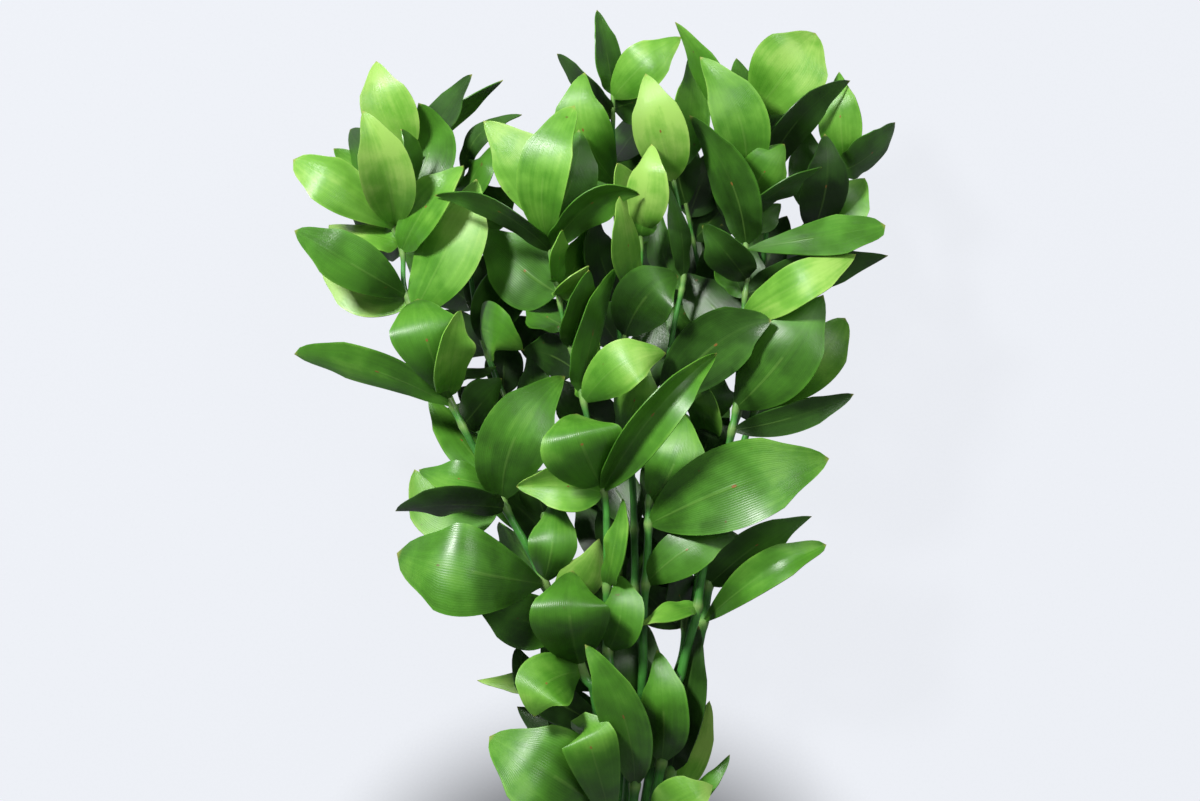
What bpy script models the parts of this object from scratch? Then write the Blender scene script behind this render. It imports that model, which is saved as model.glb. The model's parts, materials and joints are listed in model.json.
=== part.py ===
"""A bunch of fresh ruscus canes that lies on a surface, its cut ends held by a rubber band.

X runs across the bunch, Y along it towards the leafy end, and Z up from the surface. The origin is on
the surface, under the middle of the bunch. Sizes are in millimetres until a mesh is made. Each cane and
the blades that grow from it are one solid. A blade is a thin sheet that bends along its midrib, from its
foot on the cane, over its middle, to its tip. Front blades are placed first, and each later one is bent
clear of them.
"""

import math
from typing import NamedTuple

import bmesh
import bpy
from mathutils import Vector
from mathutils.bvhtree import BVHTree

MM = 0.001
NAME = "ruscus_bunch"
UP = Vector((0.0, 0.0, 1.0))

# Canes
CANE_FOOT_RADIUS = 2.5
CANE_TOP_RADIUS = 0.9
CANE_STEP = 17.0
CANE_SIDES = 6
TAPER_START = 0.45

# Tie
TIE_X = 14.0
TIE_Z = 14.0
TIE_TOP = -172.0
TIE_MIDDLE = -190.0
TIE_FOOT = -208.0
CANE_GAP = 0.3
SLOT_PITCH = 2 * CANE_FOOT_RADIUS + CANE_GAP
ROW_ANGLE = 60
ROW_PITCH = SLOT_PITCH * math.sin(math.radians(ROW_ANGLE))
END_SPREAD = 1.7
END_LOWEST = 2.55
BAND_WIDTH = 8.0
BAND_THICKNESS = 1.2
BAND_GAP = 0.35
BAND_CORNER_STEPS = 5
BAND_CORNERS = ((1.5, 0), (1, 1), (-1, 1), (-1.5, 0), (-1, -1), (1, -1))
BAND_COLOUR = (0.55, 0.36, 0.16)

# Blades
THICKNESS = 0.8
PETIOLE_WIDTH = 1.5
FULLNESS = 1.65
ROLL_IN = 0.2
BLADE_ROWS = (0.0, 0.12, 0.36, 0.62, 0.85, 1.0)
FOOT_ROWS = 2
TURN_LIMIT = 0.97
CLEARANCE = 0.45
HEIGHT_SHIFTS = (0, -4, 4, -8, 8, -13, 13, -19, 19, -26, 26, -34)
ROLL_SHIFTS = (0, 12, -12, 26, -26, 42, -42)
TRIALS = 420
TIP_SHARE = 0.7
DIFFERENCE_SHARE = 0.3
ROLL_SHARE = 1 / 3

# Surfaces
GLOSS = 0.3
DULL = 0.6
CREASE_ANGLE = 35
FLAT_ANGLE = 0.4
BLADE_WELD = 0.01
JOIN_WELD = 0.0005


class Leaf(NamedTuple):
    """A blade: the height of its foot along its cane, its tip, the heights of its middle and tip, width."""

    at: float
    tip: tuple
    high: tuple
    width: float
    bend: tuple = (0.0, 0.0)
    roll: float = 0.0
    cup: float = 0.0
    belly: float = 0.45


class Stem(NamedTuple):
    """A cane: its place in the tie as column and row, its cut end, its route to the top and its blades."""

    name: str
    slot: tuple
    cut: float
    colour: tuple
    route: tuple
    leaves: tuple


LEFT = Stem(
    "left_stem", (-1.5, 0), -286, (0.10, 0.30, 0.04),
    ((1, -62, 70), (-7, -40, 76), (-30, 14, 85), (-43, 38, 87), (-50, 53, 88), (-66, 82, 88),
     (-78, 108, 88), (-94, 147, 87), (-96, 168, 86), (-101, 184, 85), (-97, 203, 83), (-91, 220, 80)),
    (
        Leaf(219, (-109, 264), (92, 86), 27, bend=(-3, -1)),
        Leaf(182, (-114, 237), (118, 124), 30, bend=(4, 0), cup=0.5),
        Leaf(180, (-150, 214.5), (101, 92), 26, bend=(0, 2.5), roll=12, belly=0.6),
        Leaf(195, (-132, 222), (64, 56), 24, roll=40),
        Leaf(204, (-124, 232), (54, 48), 26, bend=(-4, 0), roll=-45),
        Leaf(147, (-149, 179), (110, 98), 27, bend=(0, 0), roll=-14, belly=0.52),
        Leaf(173, (-134, 183), (66, 62), 24, roll=45),
        Leaf(143, (-137, 163), (76, 70), 24, bend=(0, -5), roll=15, belly=0.55),
        Leaf(168, (-123, 193), (80, 76), 26, roll=-40),
        Leaf(199, (-96, 229), (98, 106), 22, bend=(5, 0), roll=65),
        Leaf(190, (-88, 243), (86, 88), 27, bend=(11, 3), roll=-20),
        Leaf(169, (-65, 211), (108, 102), 27, bend=(-2, 2), roll=-38),
        Leaf(138, (-59, 205), (98, 90), 35, bend=(3, 2), roll=-10),
        Leaf(95, (-88, 145), (122, 98), 34, bend=(-3, 6), belly=0.58),
        Leaf(97, (-66, 139), (116, 118), 25, roll=60),
        Leaf(92, (-150, 118), (100, 84), 23.5, bend=(0, 5), roll=-38, belly=0.58),
        Leaf(104, (-50, 112), (66, 54), 18, roll=-30),
        Leaf(55, (-84, 97), (68, 58), 23, bend=(-0.5, 0), roll=35),
        Leaf(82, (-47, 106), (74, 66), 24, roll=35),
        Leaf(46, (-91, 60), (72, 60), 34, bend=(-6, -13), roll=12),
        Leaf(41, (-99, 40), (110, 98), 25, bend=(0, 3), roll=-55),
        Leaf(52, (-88, 60), (92, 84), 20, roll=38),
        Leaf(45, (-15, 107), (108, 92), 36, bend=(-8, 2), roll=10),
        Leaf(4, (-20, 47), (94, 76), 26, bend=(2, 0), cup=-0.35),
        Leaf(6, (-48, 34), (86, 82), 24, roll=-55),
        Leaf(3, (-98, 19), (126, 102), 46, bend=(0, 0), roll=8, belly=0.58),
        Leaf(-15, (-60, -4), (86, 84), 29, bend=(2, -5), roll=-10),
        Leaf(-6, (2, 26), (100, 94), 24, bend=(3, -5), roll=30),
        Leaf(-38, (-11, 10), (122, 94), 40, bend=(-3, 4)),
        Leaf(-41, (-30, -62), (104, 98), 31, bend=(-6.5, 5.5)),
        Leaf(-112, (-53, -74), (84, 70), 48, bend=(3, 1), belly=0.5),
        Leaf(213, (-62, 259), (68, 64), 25, bend=(0.5, 1.5), roll=-48),
        Leaf(209, (-46.5, 256.5), (56, 56), 17, bend=(-4, 5), roll=62),
    ),
)

INNER_LEFT = Stem(
    "inner_left_stem", (-1, -1), -281, (0.07, 0.22, 0.03),
    ((3, -62, 44), (-6, -25, 48), (-18, 15, 51), (-32, 55, 51), (-46, 95, 50), (-58, 130, 50),
     (-64, 165, 51), (-68, 197, 54), (-66, 216, 57)),
    (
        Leaf(211, (-37, 239), (62, 56), 16, bend=(-5, 5), roll=-52),
        Leaf(203, (-75, 228), (62, 62), 22, bend=(-3, 0), roll=60),
        Leaf(197, (-53, 222), (70, 66), 22, bend=(1, 0), roll=-50),
        Leaf(186, (-41, 203), (50, 46), 24, bend=(2, -2), roll=15),
        Leaf(131, (-36, 120), (90, 86), 30, bend=(-5, 3), roll=30),
        Leaf(97, (-46, 129), (54, 50), 20, roll=10),
        Leaf(79, (-33, 122), (62, 64), 22, bend=(6, -3), roll=-30),
        Leaf(92, (-69, 101), (74, 70), 22, bend=(0, -2), roll=-20),
        Leaf(10, (-56, 22), (58, 56), 22, roll=20),
        Leaf(-70, (-39, -29), (72, 68), 25, bend=(-9, -1), roll=30),
        Leaf(-45, (-60, -48), (42, 34), 17, bend=(0, -1), roll=50),
        Leaf(142, (-99, 172), (8, 0), 27),
        Leaf(66, (-80, 88), (6, 0), 26, bend=(4, 6)),
        Leaf(22, (-54, 50), (28, 20), 25, bend=(-3, 5), roll=25),
        Leaf(118, (-94, 128), (30, 22), 25, bend=(2, 7), roll=-25),
        Leaf(170, (-84, 218), (28, 22), 25, bend=(3, -4), roll=30),
        Leaf(138, (-54, 171), (40, 36), 20, roll=15),
        Leaf(-96, (-40, -62), (28, 22), 22),
        Leaf(124, (-26, 170), (66, 60), 26, bend=(-5, 2), roll=10),
        Leaf(36, (-22, 58), (60, 60), 22, bend=(-4, 3), roll=-15),
        Leaf(-52, (-26, -22), (58, 54), 24, bend=(-3, 2), roll=10),
        Leaf(-78, (-28, -58), (58, 50), 26, bend=(-2, 4), roll=-10),
    ),
)

CENTRE_LEFT = Stem(
    "centre_left_stem", (-1, 1), -290, (0.10, 0.29, 0.05),
    ((9, -62, 78), (6, -25, 84), (6, 8, 91), (5.5, 40, 95), (3, 54, 97), (-6, 96, 98), (-9, 110, 98),
     (-12, 121, 98), (-16, 136, 98), (-19, 152, 98), (-22, 165, 98), (-23, 183, 98)),
    (
        Leaf(182, (-56, 235), (84, 74), 33, bend=(6, 1), roll=10),
        Leaf(169, (-79, 196), (122, 110), 18, bend=(2, 6), roll=-55),
        Leaf(171, (-10, 240), (124, 116), 27, bend=(-9, 0), roll=-20, belly=0.56),
        Leaf(180, (-8, 229), (104, 98), 26, bend=(4, 0)),
        Leaf(170, (22, 196), (114, 110), 26, bend=(0, 10), roll=35, cup=0.5),
        Leaf(148, (-58, 181), (86, 76), 38, bend=(2, -4), cup=0.2),
        Leaf(146, (-3, 161), (112, 116), 20, roll=65),
        Leaf(153, (-16, 179), (106, 104), 18, roll=65),
        Leaf(143, (-2, 183), (92, 84), 22, roll=45),
        Leaf(120, (-3, 159), (104, 98), 24, roll=50),
        Leaf(98, (11, 161), (106, 98), 26, bend=(-3, 0), roll=60),
        Leaf(95, (2, 125), (100, 94), 20, roll=-50),
        Leaf(109, (-36, 120), (90, 80), 24, bend=(0, 3), roll=-35),
        Leaf(112, (-42, 137), (56, 44), 25, roll=10),
        Leaf(131, (-34, 142), (90, 84), 25, roll=40),
        Leaf(94, (35, 118), (120, 108), 26, bend=(-1, 7), roll=-15),
        Leaf(51, (-9, 88), (132, 110), 42, bend=(-4, 5)),
        Leaf(49, (-39, 52), (106, 98), 25, bend=(3, 2), roll=-10, cup=0.45),
        Leaf(50, (60, 118), (132, 120), 26, bend=(-2, 6), roll=20, cup=0.7),
        Leaf(2, (14, 46), (98, 92), 20, roll=-60),
        Leaf(-30, (11, 8), (96, 90), 25, bend=(4, 0), roll=-25),
        Leaf(-122, (-6, -74), (96, 62), 28, bend=(-4, 22), belly=0.5),
    ),
)

CENTRE = Stem(
    "centre_stem", (-0.5, 0), -283, (0.11, 0.31, 0.05),
    ((19, -62, 55), (20, -4, 62), (20, 15, 64), (19, 51, 68), (16, 75, 72), (13.5, 100, 78),
     (15, 128, 86), (20, 150, 91), (23, 164, 94), (22.5, 180, 97)),
    (
        Leaf(150, (12, 195), (118, 122), 22, roll=50),
        Leaf(172, (17, 196), (104, 110), 18, roll=60),
        Leaf(176, (25, 188), (98, 102), 14),
        Leaf(179, (11, 212), (114, 110), 24, roll=30),
        Leaf(178, (28, 221), (118, 114), 24, roll=-30),
        Leaf(127, (41, 156), (122, 114), 30, bend=(-2, 5)),
        Leaf(76, (24, 116), (84, 88), 24, roll=-20),
        Leaf(-70, (16, -20), (76, 66), 28, roll=15),
        Leaf(62, (40, 96), (50, 42), 24, bend=(3, 0), roll=-20),
        Leaf(30, (-4, 62), (44, 38), 24, bend=(2, 4), roll=30),
        Leaf(0, (36, 22), (40, 36), 24, bend=(-2, 5), roll=-30),
        Leaf(92, (32, 142), (74, 70), 24, bend=(3, 0), roll=-10),
    ),
)

TOP = Stem(
    "top_stem", (0, -1), -288, (0.08, 0.24, 0.03),
    ((14, -62, 40), (12, -10, 43), (10, 45, 45), (12, 85, 48), (12.5, 127, 53), (11.5, 170, 62),
     (10, 205, 70), (9.5, 222, 73), (9, 234, 75), (9, 250, 77)),
    (
        Leaf(204, (-5, 258), (94, 90), 28, bend=(-9, 0), roll=-10),
        Leaf(236, (-19, 269), (74, 72), 20, bend=(-1.5, 1), roll=-60),
        Leaf(248, (1, 290), (82, 80), 19, bend=(0.5, 0), roll=45),
        Leaf(246, (43, 276), (92, 86), 24, bend=(-2, 0.5), roll=-10),
        Leaf(241, (25, 246), (68, 64), 22, bend=(2, 1), roll=20),
        Leaf(145, (1, 189), (84, 84), 24, bend=(-4, 0), roll=50),
        Leaf(190, (-16, 226), (8, 0), 27),
        Leaf(188, (28, 230), (36, 30), 26),
        Leaf(215, (34, 250), (38, 30), 22, bend=(0, 1), roll=-25),
        Leaf(120, (-20, 148), (22, 16), 26, bend=(3, 5), roll=25),
        Leaf(150, (38, 180), (32, 24), 25, bend=(-4, 3), roll=-30),
        Leaf(44, (-20, 78), (6, 0), 27, bend=(-3, -2)),
        Leaf(78, (-23, 106), (26, 22), 27, bend=(0, -2), roll=15),
        Leaf(-20, (-14, 14), (18, 10), 25, bend=(-4, 0), roll=20),
        Leaf(8, (-9, 48), (30, 26), 22),
        Leaf(-50, (-6, -6), (26, 20), 24),
        Leaf(6, (4, 48), (54, 52), 14, bend=(-1, 0), roll=-10),
        Leaf(-64, (26, -19), (36, 32), 22, bend=(3, 0), roll=-20),
    ),
)

CENTRE_RIGHT = Stem(
    "centre_right_stem", (0, 1), -279, (0.10, 0.30, 0.05),
    ((23, -62, 72), (24, -14, 82), (26, 15, 86), (27.5, 51, 89), (30, 75, 90), (34, 97, 90),
     (39, 130, 89), (44.5, 160, 90), (42, 190, 92), (37, 212, 93)),
    (
        Leaf(204, (25, 256), (116, 112), 27, bend=(0, -1), roll=5),
        Leaf(209, (47, 267), (80, 74), 24, bend=(5, 0), roll=40),
        Leaf(206, (35, 249), (70, 68), 20, roll=-30),
        Leaf(156, (36, 202), (96, 92), 15, bend=(2.5, 0), roll=50),
        Leaf(150, (33, 190), (72, 66), 16, bend=(-4, -1), roll=-30),
        Leaf(95, (87, 134), (110, 90), 33, bend=(1, 9), roll=5),
        Leaf(44, (44, 88), (100, 92), 30, bend=(4, -2), roll=-10),
        Leaf(33, (116, 66), (114, 102), 42, bend=(0, 4), roll=-5, belly=0.48),
        Leaf(3, (71, 28), (98, 92), 24, bend=(-1, 6), roll=-25),
        Leaf(-100, (-5, -26), (94, 92), 26, bend=(6, 3), roll=20),
        Leaf(-92, (6, -48), (84, 84), 20, bend=(2, 0), roll=10),
    ),
)

RIGHT = Stem(
    "right_stem", (1, 1), -285, (0.09, 0.28, 0.04),
    ((38, -62, 74), (43, -42, 79), (45.5, -31, 81), (50.5, -12, 84), (53.5, 8.5, 86), (62, 50, 88),
     (70, 89.5, 90), (71.5, 107.5, 90), (74.5, 144, 91), (75.5, 155, 91), (75, 177, 91),
     (75.5, 202, 90), (71.5, 217, 88), (66.5, 225, 86)),
    (
        Leaf(222, (40, 283), (100, 92), 23, bend=(3, 0.5), roll=-55),
        Leaf(203, (52, 265), (108, 102), 28, bend=(7, 2), roll=10),
        Leaf(196, (94, 222), (92, 88), 24, roll=-28),
        Leaf(188, (112, 210), (112, 108), 21, bend=(0, 1.5), roll=70),
        Leaf(178, (71, 196), (104, 110), 20, roll=55),
        Leaf(180, (93, 193), (80, 76), 16, roll=-20),
        Leaf(172, (47, 236), (106, 100), 33, bend=(6, 0), roll=-10),
        Leaf(170, (144, 181.5), (108, 100), 23, bend=(0, -0.5), roll=-20, belly=0.66),
        Leaf(155, (53, 181), (116, 112), 25, roll=-40),
        Leaf(146, (58, 177), (100, 96), 22, roll=50),
        Leaf(148, (146, 167), (96, 88), 25, bend=(0, 0.5), roll=35, belly=0.4),
        Leaf(137, (129, 167), (116, 106), 25, bend=(0, 1), roll=-30),
        Leaf(127, (42, 159), (80, 72), 26, roll=5),
        Leaf(91, (113, 147), (112, 104), 35, bend=(2, -2), roll=-5),
        Leaf(80, (129, 98), (96, 88), 16.5, bend=(0, -2.5), roll=20, belly=0.5),
        Leaf(-8, (22, -17), (96, 98), 16, bend=(0, 2), roll=60),
        Leaf(-88, (31, -30), (88, 82), 27, bend=(2, 0), roll=-25),
        Leaf(-115, (59, -99), (72, 66), 26, bend=(0, 1)),
    ),
)

UPPER_RIGHT = Stem(
    "upper_right_stem", (1, -1), -290, (0.08, 0.25, 0.04),
    ((41.5, -62, 42.5), (48.5, -22, 46), (51, -5, 48), (55, 25, 50), (67, 70, 54), (76, 105, 57),
     (81, 136, 60), (84, 160, 63), (86.5, 187, 66), (84, 209, 70), (80, 241, 76)),
    (
        Leaf(239, (110, 278), (92, 84), 40, bend=(1.5, 1), cup=0.25, belly=0.5),
        Leaf(206, (127, 254), (98, 90), 22, bend=(-4.5, 4.5), roll=40),
        Leaf(232, (71, 267), (68, 64), 22, roll=40),
        Leaf(222, (102, 250), (62, 56), 22, roll=10),
        Leaf(150, (113, 178), (8, 0), 27),
        Leaf(120, (110, 142), (28, 22), 26, bend=(-3, 5), roll=-25),
        Leaf(88, (94, 120), (30, 24), 26, bend=(4, -3), roll=25),
        Leaf(184, (66, 220), (36, 32), 26, bend=(-2, -4), roll=20),
        Leaf(156, (97, 188), (56, 56), 25, bend=(-1, -1)),
        Leaf(46, (88, 70), (8, 0), 27, bend=(3, -4)),
        Leaf(134, (78, 176), (66, 62), 22, bend=(-3, 0), roll=-10),
    ),
)

FAR_RIGHT = Stem(
    "far_right_stem", (1.5, 0), -282, (0.09, 0.27, 0.04),
    ((45, -62, 58), (54, -19, 66), (59, 15, 69), (66, 45, 71), (75, 75, 72), (81.5, 95, 73),
     (86, 120, 74), (91, 145, 75), (100, 164, 76), (112, 184, 77), (121, 202, 78), (124.5, 217, 79)),
    (
        Leaf(216, (122, 259), (90, 86), 22, bend=(-1, 0), roll=-15, belly=0.38),
        Leaf(209, (150, 234), (80, 78), 29, bend=(3, -2), roll=32),
        Leaf(183, (135, 206), (80, 78), 27, bend=(1, -2), roll=-20),
        Leaf(178, (114, 227), (104, 98), 26, bend=(3.5, 0), roll=25),
        Leaf(91, (125, 136), (88, 80), 28, bend=(5, 0.5), belly=0.52),
        Leaf(2, (108, 37), (92, 88), 21.5, bend=(-0.5, 4.5), roll=20, belly=0.36),
        Leaf(-17, (115, 23), (98, 94), 22, bend=(-1, 5.5), roll=-20, cup=0.6, belly=0.56),
        Leaf(-94, (52, -18), (82, 78), 26, bend=(0.5, 0), roll=-45),
        Leaf(-110, (58, -57.5), (52, 46), 17, bend=(4, -1), roll=-20),
        Leaf(-118, (68, -84), (58, 58), 12, bend=(3, -1), roll=-35),
        Leaf(160, (128, 190), (46, 38), 25, roll=10),
        Leaf(186, (106, 233), (62, 58), 23, bend=(-1, 0), roll=-10),
    ),
)

LOW_RIGHT = Stem(
    "low_right_stem", (0.5, 0), -287, (0.07, 0.22, 0.03),
    ((33.5, -62, 41), (41, -46, 36.5), (45.5, -30, 35), (47, 0, 36), (49, 25, 38), (54, 60, 39),
     (58, 95, 38), (57, 130, 38), (52, 165, 40), (46, 195, 44)),
    (
        Leaf(78, (53, 102), (76, 72), 24, roll=-45),
        Leaf(84, (65, 105), (72, 74), 20, roll=50),
        Leaf(-16, (38, 10), (66, 64), 24),
        Leaf(-66, (20, -96), (46, 40), 20, roll=20),
        Leaf(194, (42, 238), (50, 44), 26, bend=(-3, 0), roll=15),
        Leaf(176, (74, 202), (22, 12), 26, bend=(3, 4), roll=-20),
        Leaf(188, (60, 222), (30, 26), 24),
        Leaf(132, (46, 176), (20, 14), 24, bend=(4, 0)),
        Leaf(140, (22, 168), (6, 0), 27, bend=(-5, -5)),
        Leaf(148, (54, 196), (34, 28), 21),
        Leaf(112, (34, 144), (54, 50), 24, bend=(2, 3), roll=25),
        Leaf(60, (24, 92), (16, 8), 26, bend=(-2, 4), roll=25),
        Leaf(24, (72, 46), (22, 16), 25, bend=(2, 5), roll=-25),
        Leaf(0, (12, 42), (28, 24), 24, bend=(-2, -2)),
        Leaf(-20, (14, 16), (6, 0), 26, bend=(-4, -2)),
        Leaf(138, (64, 184), (56, 54), 21, bend=(2, 0), roll=10),
        Leaf(52, (68, 93), (52, 50), 24, bend=(-3, 3), roll=-10),
        Leaf(12, (24, 62), (54, 52), 18, bend=(-3, 0), roll=15),
    ),
)

STEMS = (LEFT, INNER_LEFT, CENTRE_LEFT, CENTRE, TOP, CENTRE_RIGHT, RIGHT, UPPER_RIGHT, FAR_RIGHT, LOW_RIGHT)


def clear_scene():
    """Removes every object that the scene starts with."""
    for thing in list(bpy.data.objects):
        bpy.data.objects.remove(thing, do_unlink=True)


def collection(name):
    """A new collection in the scene."""
    group = bpy.data.collections.new(name)
    bpy.context.scene.collection.children.link(group)
    return group


def material(name, colour, roughness):
    """A Principled material of one colour."""
    finish = bpy.data.materials.new(name)
    finish.use_nodes = True
    shader = finish.node_tree.nodes["Principled BSDF"]
    shader.inputs["Base Color"].default_value = (*colour, 1.0)
    shader.inputs["Roughness"].default_value = roughness
    finish.diffuse_color = (*colour, 1.0)
    return finish


def slot_place(slot):
    """Centre of a cane in the tie, on a triangular pattern, as x and z."""
    column, row = slot
    return TIE_X + column * SLOT_PITCH, TIE_Z + row * ROW_PITCH


def full_route(stem):
    """Route of a cane from its cut end, straight through the tie, to its top."""
    x, z = slot_place(stem.slot)
    end_x = TIE_X + (x - TIE_X) * END_SPREAD
    end_z = END_LOWEST + (stem.slot[1] + 1) * ROW_PITCH
    low = [(end_x, stem.cut, end_z), (x, TIE_FOOT, z), (x, TIE_MIDDLE, z), (x, TIE_TOP, z)]
    return [Vector(point) for point in low + list(stem.route)]


def spline_point(before, start, end, after, share):
    """Point on the smooth curve between start and end."""
    return (
        start * 2
        + (end - before) * share
        + (before * 2 - start * 5 + end * 4 - after) * share ** 2
        + (start * 3 - before - end * 3 + after) * share ** 3
    ) / 2


def smooth(route, step):
    """Points about a step apart along a smooth curve through the route."""
    padded = [route[0] * 2 - route[1], *route, route[-1] * 2 - route[-2]]
    points = [route[0]]
    for before, start, end, after in zip(padded, padded[1:], padded[2:], padded[3:]):
        count = max(1, round((end - start).length / step))
        points += [spline_point(before, start, end, after, k / count) for k in range(1, count + 1)]
    return points


def cane_radius(share):
    """Radius of a cane at a share of the way from its cut end to its top."""
    tapered = max(0.0, share - TAPER_START) / (1 - TAPER_START)
    return CANE_FOOT_RADIUS + (CANE_TOP_RADIUS - CANE_FOOT_RADIUS) * tapered


def cane_radii(path):
    """Radius at each point of a cane."""
    return [cane_radius(index / (len(path) - 1)) for index in range(len(path))]


def foot_on(path, height):
    """Point on a cane's centre line at a height along Y."""
    for low, high in zip(path, path[1:]):
        if low.y <= height <= high.y:
            return low.lerp(high, (height - low.y) / (high.y - low.y))
    return path[-1].copy()


def half_width(leaf, s):
    """Half of a blade's width at a share s of its length."""
    if s >= 1.0:
        return 0.0
    crest = leaf.belly
    share = (s / crest) ** (FULLNESS * crest) * ((1 - s) / (1 - crest)) ** (FULLNESS * (1 - crest))
    return max(share * leaf.width, PETIOLE_WIDTH) / 2


def blade_point(leaf, foot, s, t):
    """Point and normal at a share s along a blade's midrib and t across it, from -1 on the right to 1."""
    tip = Vector((*leaf.tip, leaf.high[1]))
    middle = (foot + tip) / 2
    middle = Vector((middle.x + leaf.bend[0], middle.y + leaf.bend[1], leaf.high[0]))
    pull = middle * 2 - (foot + tip) / 2
    along = ((pull - foot) * (1 - s) + (tip - pull) * s).normalized()
    along.z = max(-TURN_LIMIT, min(TURN_LIMIT, along.z))
    left = UP.cross(along).normalized()
    face = along.cross(left).normalized()
    turn = math.radians(leaf.roll) * min(1.0, s / ROLL_IN)
    side = left * math.cos(turn) + face * math.sin(turn)
    lift = face * math.cos(turn) - left * math.sin(turn)
    reach = half_width(leaf, s) * t / math.hypot(1.0, leaf.cup)
    point = foot * (1 - s) ** 2 + pull * 2 * s * (1 - s) + tip * s * s
    point = point + side * reach + lift * abs(reach) * leaf.cup
    point.z = max(point.z, THICKNESS / 2)
    return point, (lift - side * leaf.cup * t).normalized()


def blade_grid(leaf, foot, rows=BLADE_ROWS):
    """Points and normals of a blade, three across at each row."""
    return [[blade_point(leaf, foot, s, t) for t in (-1, 0, 1)] for s in rows]


def slab(grid, half):
    """Closed sheet round a grid of points and normals, as vertices and faces."""
    rows, across = len(grid), len(grid[0])
    flat = [pair for row in grid for pair in row]
    count = len(flat)
    points = [point + normal * half for point, normal in flat]
    points += [point - normal * half for point, normal in flat]
    faces = []
    for row in range(rows - 1):
        for column in range(across - 1):
            a = row * across + column
            b, c, d = a + 1, a + across + 1, a + across
            faces += [(a, b, c), (a, c, d)]
            faces += [(a + count, c + count, b + count), (a + count, d + count, c + count)]
    rim = [row * across for row in range(rows)] + [rows * across - 2]
    rim += [row * across + across - 1 for row in reversed(range(rows))] + [1]
    for a, b in zip(rim, rim[1:] + rim[:1]):
        faces += [(a, b, b + count), (a, b + count, a + count)]
    return points, faces


def tube(path, radii, margin):
    """Tube round a path, as vertices and faces."""
    points, faces = [], []
    for index, (point, radius) in enumerate(zip(path, radii)):
        along = (path[min(index + 1, len(path) - 1)] - path[max(index - 1, 0)]).normalized()
        side = UP.cross(along).normalized()
        face = along.cross(side)
        for corner in range(CANE_SIDES):
            angle = math.tau * corner / CANE_SIDES
            points.append(point + (side * math.cos(angle) + face * math.sin(angle)) * (radius + margin))
    for index in range(len(path) - 1):
        for corner in range(CANE_SIDES):
            a = index * CANE_SIDES + corner
            b = index * CANE_SIDES + (corner + 1) % CANE_SIDES
            faces += [(a, b, b + CANE_SIDES), (a, b + CANE_SIDES, a + CANE_SIDES)]
    return points, faces


class Solid:
    """A thing to keep clear of: its box, its whole surface, and its surface away from its own cane."""

    def __init__(self, owner, whole, far):
        self.owner = owner
        self.low = [min(point[axis] for point in whole[0]) for axis in range(3)]
        self.high = [max(point[axis] for point in whole[0]) for axis in range(3)]
        self.whole = BVHTree.FromPolygons(*whole)
        self.far = BVHTree.FromPolygons(*far)

    def apart(self, other):
        """True if the two boxes don't meet."""
        sides = zip(self.low, self.high, other.low, other.high)
        return any(low > other_high or high < other_low for low, high, other_low, other_high in sides)

    def hits(self, other):
        """True if the two surfaces cross. Two on one cane may meet near it."""
        if self.apart(other):
            return False
        if self.owner == other.owner:
            return bool(self.far.overlap(other.far))
        return bool(self.whole.overlap(other.whole))


def blade_solid(owner, leaf, foot, margin):
    """A blade as a thing to keep clear of."""
    grid = blade_grid(leaf, foot)
    half = THICKNESS / 2 + margin
    return Solid(owner, slab(grid, half), slab(grid[FOOT_ROWS - 1:], half))


def shift_size(middle, tip, roll):
    """How much a change alters a blade."""
    bent = abs(middle) + TIP_SHARE * abs(tip) + DIFFERENCE_SHARE * abs(middle - tip)
    return bent + ROLL_SHARE * abs(roll)


def shifts():
    """Changes to a blade's middle height, tip height and roll, the smallest first."""
    choices = [
        (shift_size(middle, tip, roll), middle, tip, roll)
        for middle in HEIGHT_SHIFTS
        for tip in HEIGHT_SHIFTS
        for roll in ROLL_SHIFTS
    ]
    return [choice[1:] for choice in sorted(choices)][:TRIALS]


def changed(leaf, middle, tip, roll):
    """A blade with its heights and roll changed."""
    high = (max(leaf.high[0] + middle, 0.0), max(leaf.high[1] + tip, 0.0))
    return leaf._replace(high=high, roll=leaf.roll + roll)


def settle(paths):
    """Bends every blade clear of the canes and of the blades in front of it, the highest blade first."""
    tubes = [tube(path, cane_radii(path), CLEARANCE) for path in paths]
    placed = [Solid(owner, shape, shape) for owner, shape in enumerate(tubes)]
    order = [(owner, leaf) for owner, stem in enumerate(STEMS) for leaf in stem.leaves]
    order.sort(key=lambda pair: -pair[1].high[0])
    settled = [[] for _ in STEMS]
    for owner, leaf in order:
        foot = foot_on(paths[owner], leaf.at)
        for shift in shifts():
            trial = changed(leaf, *shift)
            candidate = blade_solid(owner, trial, foot, CLEARANCE)
            if not any(candidate.hits(other) for other in placed):
                placed.append(blade_solid(owner, trial, foot, 0.0))
                settled[owner].append((trial, foot))
                break
    return settled


def cane_object(stem, path, group):
    """The bare cane as a mesh: a round curve with filled caps, its caps welded on."""
    curve = bpy.data.curves.new(stem.name, "CURVE")
    curve.dimensions = "3D"
    curve.bevel_depth = MM
    curve.bevel_resolution = 1
    curve.use_fill_caps = True
    line = curve.splines.new("POLY")
    line.points.add(len(path) - 1)
    for knot, point, radius in zip(line.points, path, cane_radii(path)):
        knot.co = (*(point * MM), 1.0)
        knot.radius = radius
    guide = bpy.data.objects.new(stem.name + "_curve", curve)
    group.objects.link(guide)
    bpy.context.view_layer.update()
    graph = bpy.context.evaluated_depsgraph_get()
    mesh = bpy.data.meshes.new_from_object(guide.evaluated_get(graph), depsgraph=graph)
    mesh.name = stem.name
    weld(mesh, BLADE_WELD)
    bpy.data.objects.remove(guide, do_unlink=True)
    cane = bpy.data.objects.new(stem.name, mesh)
    group.objects.link(cane)
    return cane


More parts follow.
